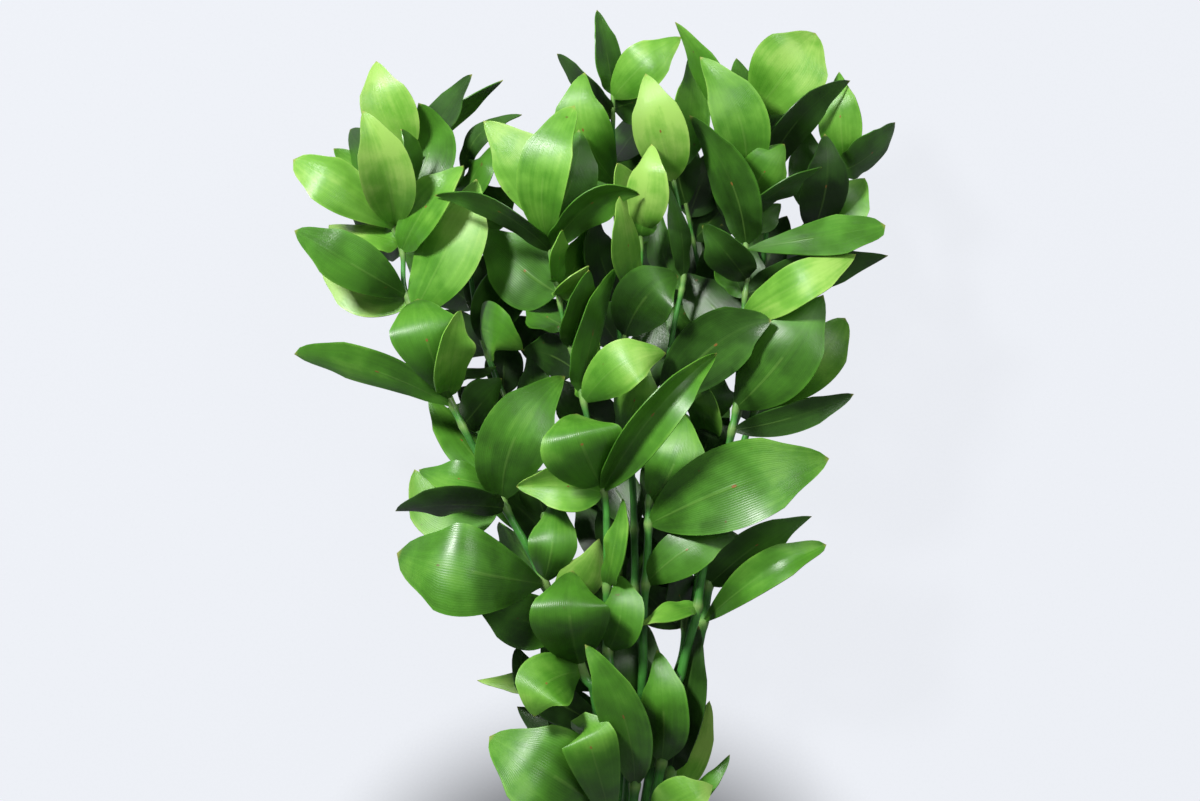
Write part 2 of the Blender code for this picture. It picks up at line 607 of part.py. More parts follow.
def weld(mesh, reach):
    """Joins a mesh's doubled vertices, merges its flat neighbours and splits its faces into triangles."""
    work = bmesh.new()
    work.from_mesh(mesh)
    bmesh.ops.remove_doubles(work, verts=work.verts, dist=reach * MM)
    bmesh.ops.dissolve_limit(work, angle_limit=math.radians(FLAT_ANGLE), verts=work.verts, edges=work.edges)
    bmesh.ops.dissolve_verts(work, verts=[vert for vert in work.verts if len(vert.link_edges) == 2])
    bmesh.ops.triangulate(work, faces=work.faces)
    work.to_mesh(mesh)
    work.free()


def blade_object(name, leaf, foot, group):
    """A blade: a grid bent to its shape, split into triangles and given its thickness."""
    work = bmesh.new()
    bmesh.ops.create_grid(work, x_segments=2, y_segments=len(BLADE_ROWS) - 1, size=1.0)
    work.verts.ensure_lookup_table()
    for vert in work.verts:
        row = round((vert.co.y + 1) / 2 * (len(BLADE_ROWS) - 1))
        point, _ = blade_point(leaf, foot, BLADE_ROWS[row], -round(vert.co.x))
        vert.co = point * MM
    bmesh.ops.remove_doubles(work, verts=work.verts, dist=BLADE_WELD * MM)
    bmesh.ops.triangulate(work, faces=work.faces)
    bmesh.ops.recalc_face_normals(work, faces=work.faces)
    mesh = bpy.data.meshes.new(name)
    work.to_mesh(mesh)
    work.free()
    blade = bpy.data.objects.new(name, mesh)
    sheet = blade.modifiers.new("thickness", "SOLIDIFY")
    sheet.thickness = THICKNESS * MM
    sheet.offset = 0.0
    group.objects.link(blade)
    return blade


def leafy_stem(stem, path, blades, group, helpers):
    """One cane joined with all of its blades."""
    cane = cane_object(stem, path, group)
    loose = bpy.data.collections.new(stem.name + "_blades")
    helpers.children.link(loose)
    for index, (leaf, foot) in enumerate(blades):
        blade_object(f"{stem.name}_blade_{index:02d}", leaf, foot, loose)
    union = cane.modifiers.new("blades", "BOOLEAN")
    union.operation = "UNION"
    union.operand_type = "COLLECTION"
    union.collection = loose
    union.solver = "MANIFOLD"
    bpy.context.view_layer.update()
    graph = bpy.context.evaluated_depsgraph_get()
    joined = bpy.data.meshes.new_from_object(cane.evaluated_get(graph), depsgraph=graph)
    cane.modifiers.clear()
    cane.data = joined
    joined.name = stem.name
    weld(joined, JOIN_WELD)
    for blade in list(loose.objects):
        bpy.data.objects.remove(blade, do_unlink=True)
    bpy.data.collections.remove(loose)
    joined.materials.append(material(stem.name, stem.colour, GLOSS))
    joined.shade_smooth()
    joined.set_sharp_from_angle(angle=math.radians(CREASE_ANGLE))
    return cane


def band_outline():
    """Points of the band's inner face: arcs round the outer canes of the tie, as x and z."""
    radius = CANE_FOOT_RADIUS + BAND_GAP
    points = []
    for index, corner in enumerate(BAND_CORNERS):
        x, z = slot_place(corner)
        for step in range(BAND_CORNER_STEPS):
            angle = math.radians(ROW_ANGLE * (index + step / (BAND_CORNER_STEPS - 1) - 0.5))
            points.append((x + radius * math.cos(angle), z + radius * math.sin(angle)))
    return points


def tie_band(group):
    """The rubber band: a closed strip round the canes, thickened outwards."""
    outline = band_outline()
    work = bmesh.new()
    rings = []
    for y in (TIE_MIDDLE - BAND_WIDTH / 2, TIE_MIDDLE + BAND_WIDTH / 2):
        rings.append([work.verts.new(Vector((x, y, z)) * MM) for x, z in outline])
    for index in range(len(outline)):
        after = (index + 1) % len(outline)
        work.faces.new((rings[0][index], rings[0][after], rings[1][after], rings[1][index]))
    bmesh.ops.recalc_face_normals(work, faces=work.faces)
    mesh = bpy.data.meshes.new("tie_band")
    work.to_mesh(mesh)
    work.free()
    band = bpy.data.objects.new("tie_band", mesh)
    wall = band.modifiers.new("wall", "SOLIDIFY")
    wall.thickness = BAND_THICKNESS * MM
    wall.offset = 1.0
    mesh.materials.append(material("tie_band", BAND_COLOUR, DULL))
    group.objects.link(band)
    return band


def build():
    """Builds the bunch."""
    clear_scene()
    group = collection(NAME)
    helpers = collection("helpers")
    paths = [smooth(full_route(stem), CANE_STEP) for stem in STEMS]
    for stem, path, blades in zip(STEMS, paths, settle(paths)):
        leafy_stem(stem, path, blades, group, helpers)
    tie_band(group)


build()
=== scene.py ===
"""A bunch of fresh ruscus that lies on a pale floor, seen from straight above.

X runs across the bunch, Y along it towards the leafy end, and Z up from the floor. Sizes are in millimetres
until a mesh is made, and in metres for the lights. Each cane is modelled with its blades, which are bent
clear of each other from the front to the back, as they are on the solids that they stand for.
"""

from __future__ import annotations

import json
import logging
import math
import random
from dataclasses import dataclass
from enum import Enum
from typing import NamedTuple

import bpy
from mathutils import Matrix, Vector
from mathutils.bvhtree import BVHTree

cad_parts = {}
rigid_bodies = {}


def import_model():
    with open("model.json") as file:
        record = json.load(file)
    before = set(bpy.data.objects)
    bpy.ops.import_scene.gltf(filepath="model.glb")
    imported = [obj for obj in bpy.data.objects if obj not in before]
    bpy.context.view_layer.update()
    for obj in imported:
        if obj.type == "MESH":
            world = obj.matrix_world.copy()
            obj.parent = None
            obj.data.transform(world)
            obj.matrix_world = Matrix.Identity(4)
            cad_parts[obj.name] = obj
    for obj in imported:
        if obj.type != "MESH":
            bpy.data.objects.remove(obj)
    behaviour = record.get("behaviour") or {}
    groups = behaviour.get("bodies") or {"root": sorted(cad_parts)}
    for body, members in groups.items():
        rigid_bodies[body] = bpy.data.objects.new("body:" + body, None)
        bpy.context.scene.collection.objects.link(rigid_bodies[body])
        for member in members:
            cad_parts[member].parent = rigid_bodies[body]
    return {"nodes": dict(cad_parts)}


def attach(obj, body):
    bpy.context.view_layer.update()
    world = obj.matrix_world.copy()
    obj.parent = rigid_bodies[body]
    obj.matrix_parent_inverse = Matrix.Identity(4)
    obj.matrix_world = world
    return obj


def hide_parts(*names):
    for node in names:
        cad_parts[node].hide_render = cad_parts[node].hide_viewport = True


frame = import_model()

MM = 0.001
UP = Vector((0.0, 0.0, 1.0))
BODY = "root"
TINT = "blade_tint"
log = logging.getLogger("ruscus_bunch")

Colour = tuple[float, float, float]
Place = tuple[float, float, float]
Socket = bpy.types.NodeSocket
Material = bpy.types.Material
Sheet = list[list[tuple[Vector, Vector]]]
Surface = tuple[list[Vector], list[tuple[int, ...]]]


class Across(Enum):
    """How a blade is curved across, as the lift of its edges over its half width."""

    ARCHED = -0.16
    FLAT = -0.03
    HOLLOW = 0.13


class Blade(NamedTuple):
    """A blade: the height of its foot along its cane, its tip, the heights of its middle and tip, its width.

    Tone goes from dark green to the yellow green of a young blade; it is partly the blade's own colour and
    partly painted shade, darker on the blades that lie in shadow. Bend moves the middle of the midrib off the
    straight line, roll turns the face in degrees, cup is how steeply the halves rise to the edges, and belly
    is where along it the blade is widest.
    """

    at: float
    tip: tuple[float, float]
    high: tuple[float, float]
    width: float
    tone: float
    bend: tuple[float, float] = (0.0, 0.0)
    roll: float = 0.0
    cup: float = 0.0
    belly: float = 0.45


class Stem(NamedTuple):
    """A cane: its place in the tie as column and row, its cut end, its finish, its route and its blades."""

    name: str
    slot: tuple[float, float]
    cut: float
    finish: str
    route: tuple[Place, ...]
    blades: tuple[Blade, ...]


LEFT = Stem(
    "left_stem", (-1.5, 0), -286, "bright_foliage",
    ((1, -62, 70), (-7, -40, 76), (-30, 14, 85), (-43, 38, 87), (-50, 53, 88), (-66, 82, 88), (-78, 108, 88),
     (-94, 147, 87), (-96, 168, 86), (-101, 184, 85), (-97, 203, 83), (-91, 220, 80)),
    (
        Blade(219, (-109, 264), (92, 86), 27, 0.95, bend=(-3, -1)),
        Blade(182, (-114, 237), (118, 124), 30, 0.9, bend=(4, 0), cup=0.5),
        Blade(180, (-150, 214.5), (101, 92), 26, 0.85, bend=(0, 2.5), roll=12, belly=0.6),
        Blade(195, (-132, 222), (64, 56), 24, 0.6, roll=40),
        Blade(204, (-124, 232), (54, 48), 26, 0.3, bend=(-4, 0), roll=-45),
        Blade(147, (-149, 179), (110, 98), 27, 0.5, roll=-14, belly=0.52),
        Blade(173, (-134, 183), (66, 62), 24, 0.95, roll=45),
        Blade(143, (-137, 163), (76, 70), 24, 0.9, bend=(0, -5), roll=15, belly=0.55),
        Blade(168, (-123, 193), (80, 76), 26, 0.4, roll=-40),
        Blade(199, (-96, 229), (98, 106), 22, 0.5, bend=(5, 0), roll=65),
        Blade(190, (-88, 243), (86, 88), 27, 0.5, bend=(11, 3), roll=-20),
        Blade(169, (-65, 211), (108, 102), 27, 0.75, bend=(-2, 2), roll=-38),
        Blade(138, (-59, 205), (98, 90), 35, 0.75, bend=(3, 2), roll=-10),
        Blade(95, (-88, 145), (122, 98), 34, 0.5, bend=(-3, 6), belly=0.58),
        Blade(97, (-66, 139), (116, 118), 25, 0.8, roll=60),
        Blade(92, (-150, 118), (100, 84), 23.5, 0.55, bend=(0, 5), roll=-38, belly=0.58),
        Blade(104, (-50, 112), (66, 54), 18, 0.2, roll=-30),
        Blade(55, (-84, 97), (68, 58), 23, 0.6, bend=(-0.5, 0), roll=35),
        Blade(82, (-47, 106), (74, 66), 24, 0.25, roll=35),
        Blade(46, (-91, 60), (72, 60), 34, 0.7, bend=(-6, -13), roll=12),
        Blade(41, (-99, 40), (110, 98), 25, 0.15, bend=(0, 3), roll=-55),
        Blade(52, (-88, 60), (92, 84), 20, 0.6, roll=38),
        Blade(45, (-15, 107), (108, 92), 36, 0.55, bend=(-8, 2), roll=10),
        Blade(4, (-20, 47), (94, 76), 26, 0.5, bend=(2, 0), cup=-0.35),
        Blade(6, (-48, 34), (86, 82), 24, 0.5, roll=-55),
        Blade(3, (-98, 19), (126, 102), 46, 0.55, roll=8, belly=0.58),
        Blade(-15, (-60, -4), (86, 84), 29, 0.45, bend=(2, -5), roll=-10),
        Blade(-6, (2, 26), (100, 94), 24, 0.85, bend=(3, -5), roll=30),
        Blade(-38, (-11, 10), (122, 94), 40, 0.5, bend=(-3, 4)),
        Blade(-41, (-30, -62), (104, 98), 31, 0.7, bend=(-6.5, 5.5)),
        Blade(-112, (-53, -74), (84, 70), 48, 0.55, bend=(3, 1), belly=0.5),
        Blade(213, (-62, 259), (68, 64), 25, 0.2, bend=(0.5, 1.5), roll=-48),
        Blade(209, (-46.5, 256.5), (56, 56), 17, 0.35, bend=(-4, 5), roll=62),
    ),
)

INNER_LEFT = Stem(
    "inner_left_stem", (-1, -1), -281, "deep_foliage",
    ((3, -62, 44), (-6, -25, 48), (-18, 15, 51), (-32, 55, 51), (-46, 95, 50), (-58, 130, 50), (-64, 165, 51),
     (-68, 197, 54), (-66, 216, 57)),
    (
        Blade(211, (-37, 239), (62, 56), 16, 0.25, bend=(-5, 5), roll=-52),
        Blade(203, (-75, 228), (62, 62), 22, 0.15, bend=(-3, 0), roll=60),
        Blade(197, (-53, 222), (70, 66), 22, 0.5, bend=(1, 0), roll=-50),
        Blade(186, (-41, 203), (50, 46), 24, 0.3, bend=(2, -2), roll=15),
        Blade(131, (-36, 120), (90, 86), 30, 0.6, bend=(-5, 3), roll=30),
        Blade(97, (-46, 129), (54, 50), 20, 0.15, roll=10),
        Blade(79, (-33, 122), (62, 64), 22, 0.35, bend=(6, -3), roll=-30),
        Blade(92, (-69, 101), (74, 70), 22, 0.1, bend=(0, -2), roll=-20),
        Blade(10, (-56, 22), (58, 56), 22, 0.1, roll=20),
        Blade(-70, (-39, -29), (72, 68), 25, 0.2, bend=(-9, -1), roll=30),
        Blade(-45, (-60, -48), (42, 34), 17, 0.9, bend=(0, -1), roll=50),
        Blade(142, (-99, 172), (8, 0), 27, 0.35),
        Blade(66, (-80, 88), (6, 0), 26, 0.4, bend=(4, 6)),
        Blade(22, (-54, 50), (28, 20), 25, 0.35, bend=(-3, 5), roll=25),
        Blade(118, (-94, 128), (30, 22), 25, 0.3, bend=(2, 7), roll=-25),
        Blade(170, (-84, 218), (28, 22), 25, 0.3, bend=(3, -4), roll=30),
        Blade(138, (-54, 171), (40, 36), 20, 0.1, roll=15),
        Blade(-96, (-40, -62), (28, 22), 22, 0.15),
        Blade(124, (-26, 170), (66, 60), 26, 0.3, bend=(-5, 2), roll=10),
        Blade(36, (-22, 58), (60, 60), 22, 0.2, bend=(-4, 3), roll=-15),
        Blade(-52, (-26, -22), (58, 54), 24, 0.3, bend=(-3, 2), roll=10),
        Blade(-78, (-28, -58), (58, 50), 26, 0.25, bend=(-2, 4), roll=-10),
    ),
)

CENTRE_LEFT = Stem(
    "centre_left_stem", (-1, 1), -290, "bright_foliage",
    ((9, -62, 78), (6, -25, 84), (6, 8, 91), (5.5, 40, 95), (3, 54, 97), (-6, 96, 98), (-9, 110, 98),
     (-12, 121, 98), (-16, 136, 98), (-19, 152, 98), (-22, 165, 98), (-23, 183, 98)),
    (
        Blade(182, (-56, 235), (84, 74), 33, 0.8, bend=(6, 1), roll=10),
        Blade(169, (-79, 196), (122, 110), 18, 0.25, bend=(2, 6), roll=-55),
        Blade(171, (-10, 240), (124, 116), 27, 0.75, bend=(-9, 0), roll=-20, belly=0.56),
        Blade(180, (-8, 229), (104, 98), 26, 0.45, bend=(4, 0)),
        Blade(170, (22, 196), (114, 110), 26, 0.5, bend=(0, 10), roll=35, cup=0.5),
        Blade(148, (-58, 181), (86, 76), 38, 0.45, bend=(2, -4), cup=0.2),
        Blade(146, (-3, 161), (112, 116), 20, 0.85, roll=65),
        Blade(153, (-16, 179), (106, 104), 18, 0.6, roll=65),
        Blade(143, (-2, 183), (92, 84), 22, 0.6, roll=45),
        Blade(120, (-3, 159), (104, 98), 24, 0.35, roll=50),
        Blade(98, (11, 161), (106, 98), 26, 0.5, bend=(-3, 0), roll=60),
        Blade(95, (2, 125), (100, 94), 20, 0.75, roll=-50),
        Blade(109, (-36, 120), (90, 80), 24, 0.08, bend=(0, 3), roll=-35),
        Blade(112, (-42, 137), (56, 44), 25, 0.1, roll=10),
        Blade(131, (-34, 142), (90, 84), 25, 0.5, roll=40),
        Blade(94, (35, 118), (120, 108), 26, 0.85, bend=(-1, 7), roll=-15),
        Blade(51, (-9, 88), (132, 110), 42, 0.6, bend=(-4, 5)),
        Blade(49, (-39, 52), (106, 98), 25, 0.8, bend=(3, 2), roll=-10, cup=0.45),
        Blade(50, (60, 118), (132, 120), 26, 0.55, bend=(-2, 6), roll=20, cup=0.7),
        Blade(2, (14, 46), (98, 92), 20, 0.7, roll=-60),
        Blade(-30, (11, 8), (96, 90), 25, 0.5, bend=(4, 0), roll=-25),
        Blade(-122, (-6, -74), (96, 62), 28, 0.65, bend=(-4, 22), belly=0.5),
    ),
)

CENTRE = Stem(
    "centre_stem", (-0.5, 0), -283, "bright_foliage",
    ((19, -62, 55), (20, -4, 62), (20, 15, 64), (19, 51, 68), (16, 75, 72), (13.5, 100, 78), (15, 128, 86),
     (20, 150, 91), (23, 164, 94), (22.5, 180, 97)),
    (
        Blade(150, (12, 195), (118, 122), 22, 0.85, roll=50),
        Blade(172, (17, 196), (104, 110), 18, 0.8, roll=60),
        Blade(176, (25, 188), (98, 102), 14, 0.6),
        Blade(179, (11, 212), (114, 110), 24, 0.9, roll=30),
        Blade(178, (28, 221), (118, 114), 24, 0.95, roll=-30),
        Blade(127, (41, 156), (122, 114), 30, 0.3, bend=(-2, 5)),
        Blade(76, (24, 116), (84, 88), 24, 0.7, roll=-20),
        Blade(-70, (16, -20), (76, 66), 28, 0.2, roll=15),
        Blade(62, (40, 96), (50, 42), 24, 0.35, bend=(3, 0), roll=-20),
        Blade(30, (-4, 62), (44, 38), 24, 0.3, bend=(2, 4), roll=30),
        Blade(0, (36, 22), (40, 36), 24, 0.3, bend=(-2, 5), roll=-30),
        Blade(92, (32, 142), (74, 70), 24, 0.2, bend=(3, 0), roll=-10),
    ),
)

TOP = Stem(
    "top_stem", (0, -1), -288, "deep_foliage",
    ((14, -62, 40), (12, -10, 43), (10, 45, 45), (12, 85, 48), (12.5, 127, 53), (11.5, 170, 62),
     (10, 205, 70), (9.5, 222, 73), (9, 234, 75), (9, 250, 77)),
    (
        Blade(204, (-5, 258), (94, 90), 28, 0.7, bend=(-9, 0), roll=-10),
        Blade(236, (-19, 269), (74, 72), 20, 0.1, bend=(-1.5, 1), roll=-60),
        Blade(248, (1, 290), (82, 80), 19, 0.45, bend=(0.5, 0), roll=45),
        Blade(246, (43, 276), (92, 86), 24, 0.8, bend=(-2, 0.5), roll=-10),
        Blade(241, (25, 246), (68, 64), 22, 0.3, bend=(2, 1), roll=20),
        Blade(145, (1, 189), (84, 84), 24, 0.1, bend=(-4, 0), roll=50),
        Blade(190, (-16, 226), (8, 0), 27, 0.4),
        Blade(188, (28, 230), (36, 30), 26, 0.2),
        Blade(215, (34, 250), (38, 30), 22, 0.3, bend=(0, 1), roll=-25),
        Blade(120, (-20, 148), (22, 16), 26, 0.35, bend=(3, 5), roll=25),
        Blade(150, (38, 180), (32, 24), 25, 0.35, bend=(-4, 3), roll=-30),
        Blade(44, (-20, 78), (6, 0), 27, 0.4, bend=(-3, -2)),
        Blade(78, (-23, 106), (26, 22), 27, 0.3, bend=(0, -2), roll=15),
        Blade(-20, (-14, 14), (18, 10), 25, 0.3, bend=(-4, 0), roll=20),
        Blade(8, (-9, 48), (30, 26), 22, 0.15),
        Blade(-50, (-6, -6), (26, 20), 24, 0.1),
        Blade(6, (4, 48), (54, 52), 14, 0.15, bend=(-1, 0), roll=-10),
        Blade(-64, (26, -19), (36, 32), 22, 0.2, bend=(3, 0), roll=-20),
    ),
)

CENTRE_RIGHT = Stem(
    "centre_right_stem", (0, 1), -279, "bright_foliage",
    ((23, -62, 72), (24, -14, 82), (26, 15, 86), (27.5, 51, 89), (30, 75, 90), (34, 97, 90), (39, 130, 89),
     (44.5, 160, 90), (42, 190, 92), (37, 212, 93)),
    (
        Blade(204, (25, 256), (116, 112), 27, 1, bend=(0, -1), roll=5),
        Blade(209, (47, 267), (80, 74), 24, 0.6, bend=(5, 0), roll=40),
        Blade(206, (35, 249), (70, 68), 20, 0.5, roll=-30),
        Blade(156, (36, 202), (96, 92), 15, 0.3, bend=(2.5, 0), roll=50),
        Blade(150, (33, 190), (72, 66), 16, 0.4, bend=(-4, -1), roll=-30),
        Blade(95, (87, 134), (110, 90), 33, 0.3, bend=(1, 9), roll=5),
        Blade(44, (44, 88), (100, 92), 30, 0.6, bend=(4, -2), roll=-10),
        Blade(33, (116, 66), (114, 102), 42, 0.55, bend=(0, 4), roll=-5, belly=0.48),
        Blade(3, (71, 28), (98, 92), 24, 0.55, bend=(-1, 6), roll=-25),
        Blade(-100, (-5, -26), (94, 92), 26, 0.5, bend=(6, 3), roll=20),
        Blade(-92, (6, -48), (84, 84), 20, 0.3, bend=(2, 0), roll=10),
    ),
)

RIGHT = Stem(
    "right_stem", (1, 1), -285, "bright_foliage",
    ((38, -62, 74), (43, -42, 79), (45.5, -31, 81), (50.5, -12, 84), (53.5, 8.5, 86), (62, 50, 88),
     (70, 89.5, 90), (71.5, 107.5, 90), (74.5, 144, 91), (75.5, 155, 91), (75, 177, 91), (75.5, 202, 90),
     (71.5, 217, 88), (66.5, 225, 86)),
    (
        Blade(222, (40, 283), (100, 92), 23, 0.6, bend=(3, 0.5), roll=-55),
        Blade(203, (52, 265), (108, 102), 28, 0.7, bend=(7, 2), roll=10),
        Blade(196, (94, 222), (92, 88), 24, 0.6, roll=-28),
        Blade(188, (112, 210), (112, 108), 21, 0.3, bend=(0, 1.5), roll=70),
        Blade(178, (71, 196), (104, 110), 20, 0.7, roll=55),
        Blade(180, (93, 193), (80, 76), 16, 0.45, roll=-20),
        Blade(172, (47, 236), (106, 100), 33, 0.3, bend=(6, 0), roll=-10),
        Blade(170, (144, 181.5), (108, 100), 23, 0.5, bend=(0, -0.5), roll=-20, belly=0.66),
        Blade(155, (53, 181), (116, 112), 25, 0.2, roll=-40),
        Blade(146, (58, 177), (100, 96), 22, 0.5, roll=50),
        Blade(148, (146, 167), (96, 88), 25, 0.2, bend=(0, 0.5), roll=35, belly=0.4),
        Blade(137, (129, 167), (116, 106), 25, 0.9, bend=(0, 1), roll=-30),
        Blade(127, (42, 159), (80, 72), 26, 0.15, roll=5),
        Blade(91, (113, 147), (112, 104), 35, 0.5, bend=(2, -2), roll=-5),
        Blade(80, (129, 98), (96, 88), 16.5, 0.2, bend=(0, -2.5), roll=20, belly=0.5),
        Blade(-8, (22, -17), (96, 98), 16, 0.8, bend=(0, 2), roll=60),
        Blade(-88, (31, -30), (88, 82), 27, 0.5, bend=(2, 0), roll=-25),
        Blade(-115, (59, -99), (72, 66), 26, 0.85, bend=(0, 1)),
    ),
)

UPPER_RIGHT = Stem(
    "upper_right_stem", (1, -1), -290, "deep_foliage",
    ((41.5, -62, 42.5), (48.5, -22, 46), (51, -5, 48), (55, 25, 50), (67, 70, 54), (76, 105, 57),
     (81, 136, 60), (84, 160, 63), (86.5, 187, 66), (84, 209, 70), (80, 241, 76)),
    (
        Blade(239, (110, 278), (92, 84), 40, 0.85, bend=(1.5, 1), cup=0.25, belly=0.5),
        Blade(206, (127, 254), (98, 90), 22, 0.15, bend=(-4.5, 4.5), roll=40),
        Blade(232, (71, 267), (68, 64), 22, 0.5, roll=40),
        Blade(222, (102, 250), (62, 56), 22, 0.35, roll=10),
        Blade(150, (113, 178), (8, 0), 27, 0.4),
        Blade(120, (110, 142), (28, 22), 26, 0.35, bend=(-3, 5), roll=-25),
        Blade(88, (94, 120), (30, 24), 26, 0.4, bend=(4, -3), roll=25),
        Blade(184, (66, 220), (36, 32), 26, 0.3, bend=(-2, -4), roll=20),
        Blade(156, (97, 188), (56, 56), 25, 0.2, bend=(-1, -1)),
        Blade(46, (88, 70), (8, 0), 27, 0.35, bend=(3, -4)),
        Blade(134, (78, 176), (66, 62), 22, 0.2, bend=(-3, 0), roll=-10),
    ),
)

FAR_RIGHT = Stem(
    "far_right_stem", (1.5, 0), -282, "bright_foliage",
    ((45, -62, 58), (54, -19, 66), (59, 15, 69), (66, 45, 71), (75, 75, 72), (81.5, 95, 73), (86, 120, 74),
     (91, 145, 75), (100, 164, 76), (112, 184, 77), (121, 202, 78), (124.5, 217, 79)),
    (
        Blade(216, (122, 259), (90, 86), 22, 0.7, bend=(-1, 0), roll=-15, belly=0.38),
        Blade(209, (150, 234), (80, 78), 29, 0.35, bend=(3, -2), roll=32),
        Blade(183, (135, 206), (80, 78), 27, 0.65, bend=(1, -2), roll=-20),
        Blade(178, (114, 227), (104, 98), 26, 0.05, bend=(3.5, 0), roll=25),
        Blade(91, (125, 136), (88, 80), 28, 0.7, bend=(5, 0.5), belly=0.52),
        Blade(2, (108, 37), (92, 88), 21.5, 0.4, bend=(-0.5, 4.5), roll=20, belly=0.36),
        Blade(-17, (115, 23), (98, 94), 22, 0.6, bend=(-1, 5.5), roll=-20, cup=0.6, belly=0.56),
        Blade(-94, (52, -18), (82, 78), 26, 0.12, bend=(0.5, 0), roll=-45),
        Blade(-110, (58, -57.5), (52, 46), 17, 0.85, bend=(4, -1), roll=-20),
        Blade(-118, (68, -84), (58, 58), 12, 0.55, bend=(3, -1), roll=-35),
        Blade(160, (128, 190), (46, 38), 25, 0.4, roll=10),
        Blade(186, (106, 233), (62, 58), 23, 0.35, bend=(-1, 0), roll=-10),
    ),
)

LOW_RIGHT = Stem(
    "low_right_stem", (0.5, 0), -287, "deep_foliage",
    ((33.5, -62, 41), (41, -46, 36.5), (45.5, -30, 35), (47, 0, 36), (49, 25, 38), (54, 60, 39),
     (58, 95, 38), (57, 130, 38), (52, 165, 40), (46, 195, 44)),
    (
        Blade(78, (53, 102), (76, 72), 24, 0.7, roll=-45),
        Blade(84, (65, 105), (72, 74), 20, 0.5, roll=50),
        Blade(-16, (38, 10), (66, 64), 24, 0.1),
        Blade(-66, (20, -96), (46, 40), 20, 0.25, roll=20),
        Blade(194, (42, 238), (50, 44), 26, 0.3, bend=(-3, 0), roll=15),
        Blade(176, (74, 202), (22, 12), 26, 0.35, bend=(3, 4), roll=-20),
        Blade(188, (60, 222), (30, 26), 24, 0.2),
        Blade(132, (46, 176), (20, 14), 24, 0.15, bend=(4, 0)),
        Blade(140, (22, 168), (6, 0), 27, 0.4, bend=(-5, -5)),
        Blade(148, (54, 196), (34, 28), 21, 0.15),
        Blade(112, (34, 144), (54, 50), 24, 0.3, bend=(2, 3), roll=25),
        Blade(60, (24, 92), (16, 8), 26, 0.35, bend=(-2, 4), roll=25),
        Blade(24, (72, 46), (22, 16), 25, 0.3, bend=(2, 5), roll=-25),
        Blade(0, (12, 42), (28, 24), 24, 0.1, bend=(-2, -2)),
        Blade(-20, (14, 16), (6, 0), 26, 0.35, bend=(-4, -2)),
        Blade(138, (64, 184), (56, 54), 21, 0.2, bend=(2, 0), roll=10),
        Blade(52, (68, 93), (52, 50), 24, 0.2, bend=(-3, 3), roll=-10),
        Blade(12, (24, 62), (54, 52), 18, 0.15, bend=(-3, 0), roll=15),
    ),
)
STEMS = (LEFT, INNER_LEFT, CENTRE_LEFT, CENTRE, TOP, CENTRE_RIGHT, RIGHT, UPPER_RIGHT, FAR_RIGHT, LOW_RIGHT)


@dataclass(frozen=True)
class Tie:
    """Where the canes are held together, and how they lie there on a triangular pattern."""

    x: float = 14.0
    z: float = 14.0
    top: float = -172.0
    middle: float = -190.0
    foot: float = -208.0
    pitch: float = 5.3
    row_angle: float = 60.0
    end_spread: float = 1.7
    end_lowest: float = 2.55

    def row_pitch(self) -> float:
        """Height from one row of canes to the next."""
        return self.pitch * math.sin(math.radians(self.row_angle))

    def route(self, stem: Stem) -> list[Vector]:
        """Route of a cane from its cut end, straight through the tie, to its top.

        Args:
            stem: The cane.

        Returns:
            The points that the cane runs through.
        """
        column, row = stem.slot
        x = self.x + column * self.pitch
        z = self.z + row * self.row_pitch()
        end_x = self.x + (x - self.x) * self.end_spread
        end_z = self.end_lowest + (row + 1) * self.row_pitch()
        low = [(end_x, stem.cut, end_z), (x, self.foot, z), (x, self.middle, z), (x, self.top, z)]
        return [Vector(point) for point in low + list(stem.route)]


def spline_point(before: Vector, start: Vector, end: Vector, after: Vector, share: float) -> Vector:
    """Point on the smooth curve between two points of a route.

    Args:
        before: The point ahead of the start.
        start: Where the stretch starts.
        end: Where the stretch ends.
        after: The point past the end.
        share: How far along the stretch, from 0 to 1.

    Returns:
        The point.
    """
    return (
        start * 2
        + (end - before) * share
        + (before * 2 - start * 5 + end * 4 - after) * share ** 2
        + (start * 3 - before - end * 3 + after) * share ** 3
    ) / 2


def smooth(route: list[Vector], step: float) -> list[Vector]:
    """Points about a step apart along a smooth curve.

    Args:
        route: The points that the curve runs through.
        step: The distance from one point to the next, about.

    Returns:
        The points of the curve.
    """
    padded = [route[0] * 2 - route[1], *route, route[-1] * 2 - route[-2]]
    points = [route[0]]
    for before, start, end, after in zip(padded, padded[1:], padded[2:], padded[3:]):
        count = max(1, round((end - start).length / step))
        points += [spline_point(before, start, end, after, k / count) for k in range(1, count + 1)]
    return points


def foot_on(path: list[Vector], height: float) -> Vector:
    """Point on a cane's centre line at a height along Y.

    Args:
        path: The cane's centre line.
        height: The height.

    Returns:
        The point.
    """
    for low, high in zip(path, path[1:]):
        if low.y <= height <= high.y:
            return low.lerp(high, (height - low.y) / (high.y - low.y))
    return path[-1].copy()


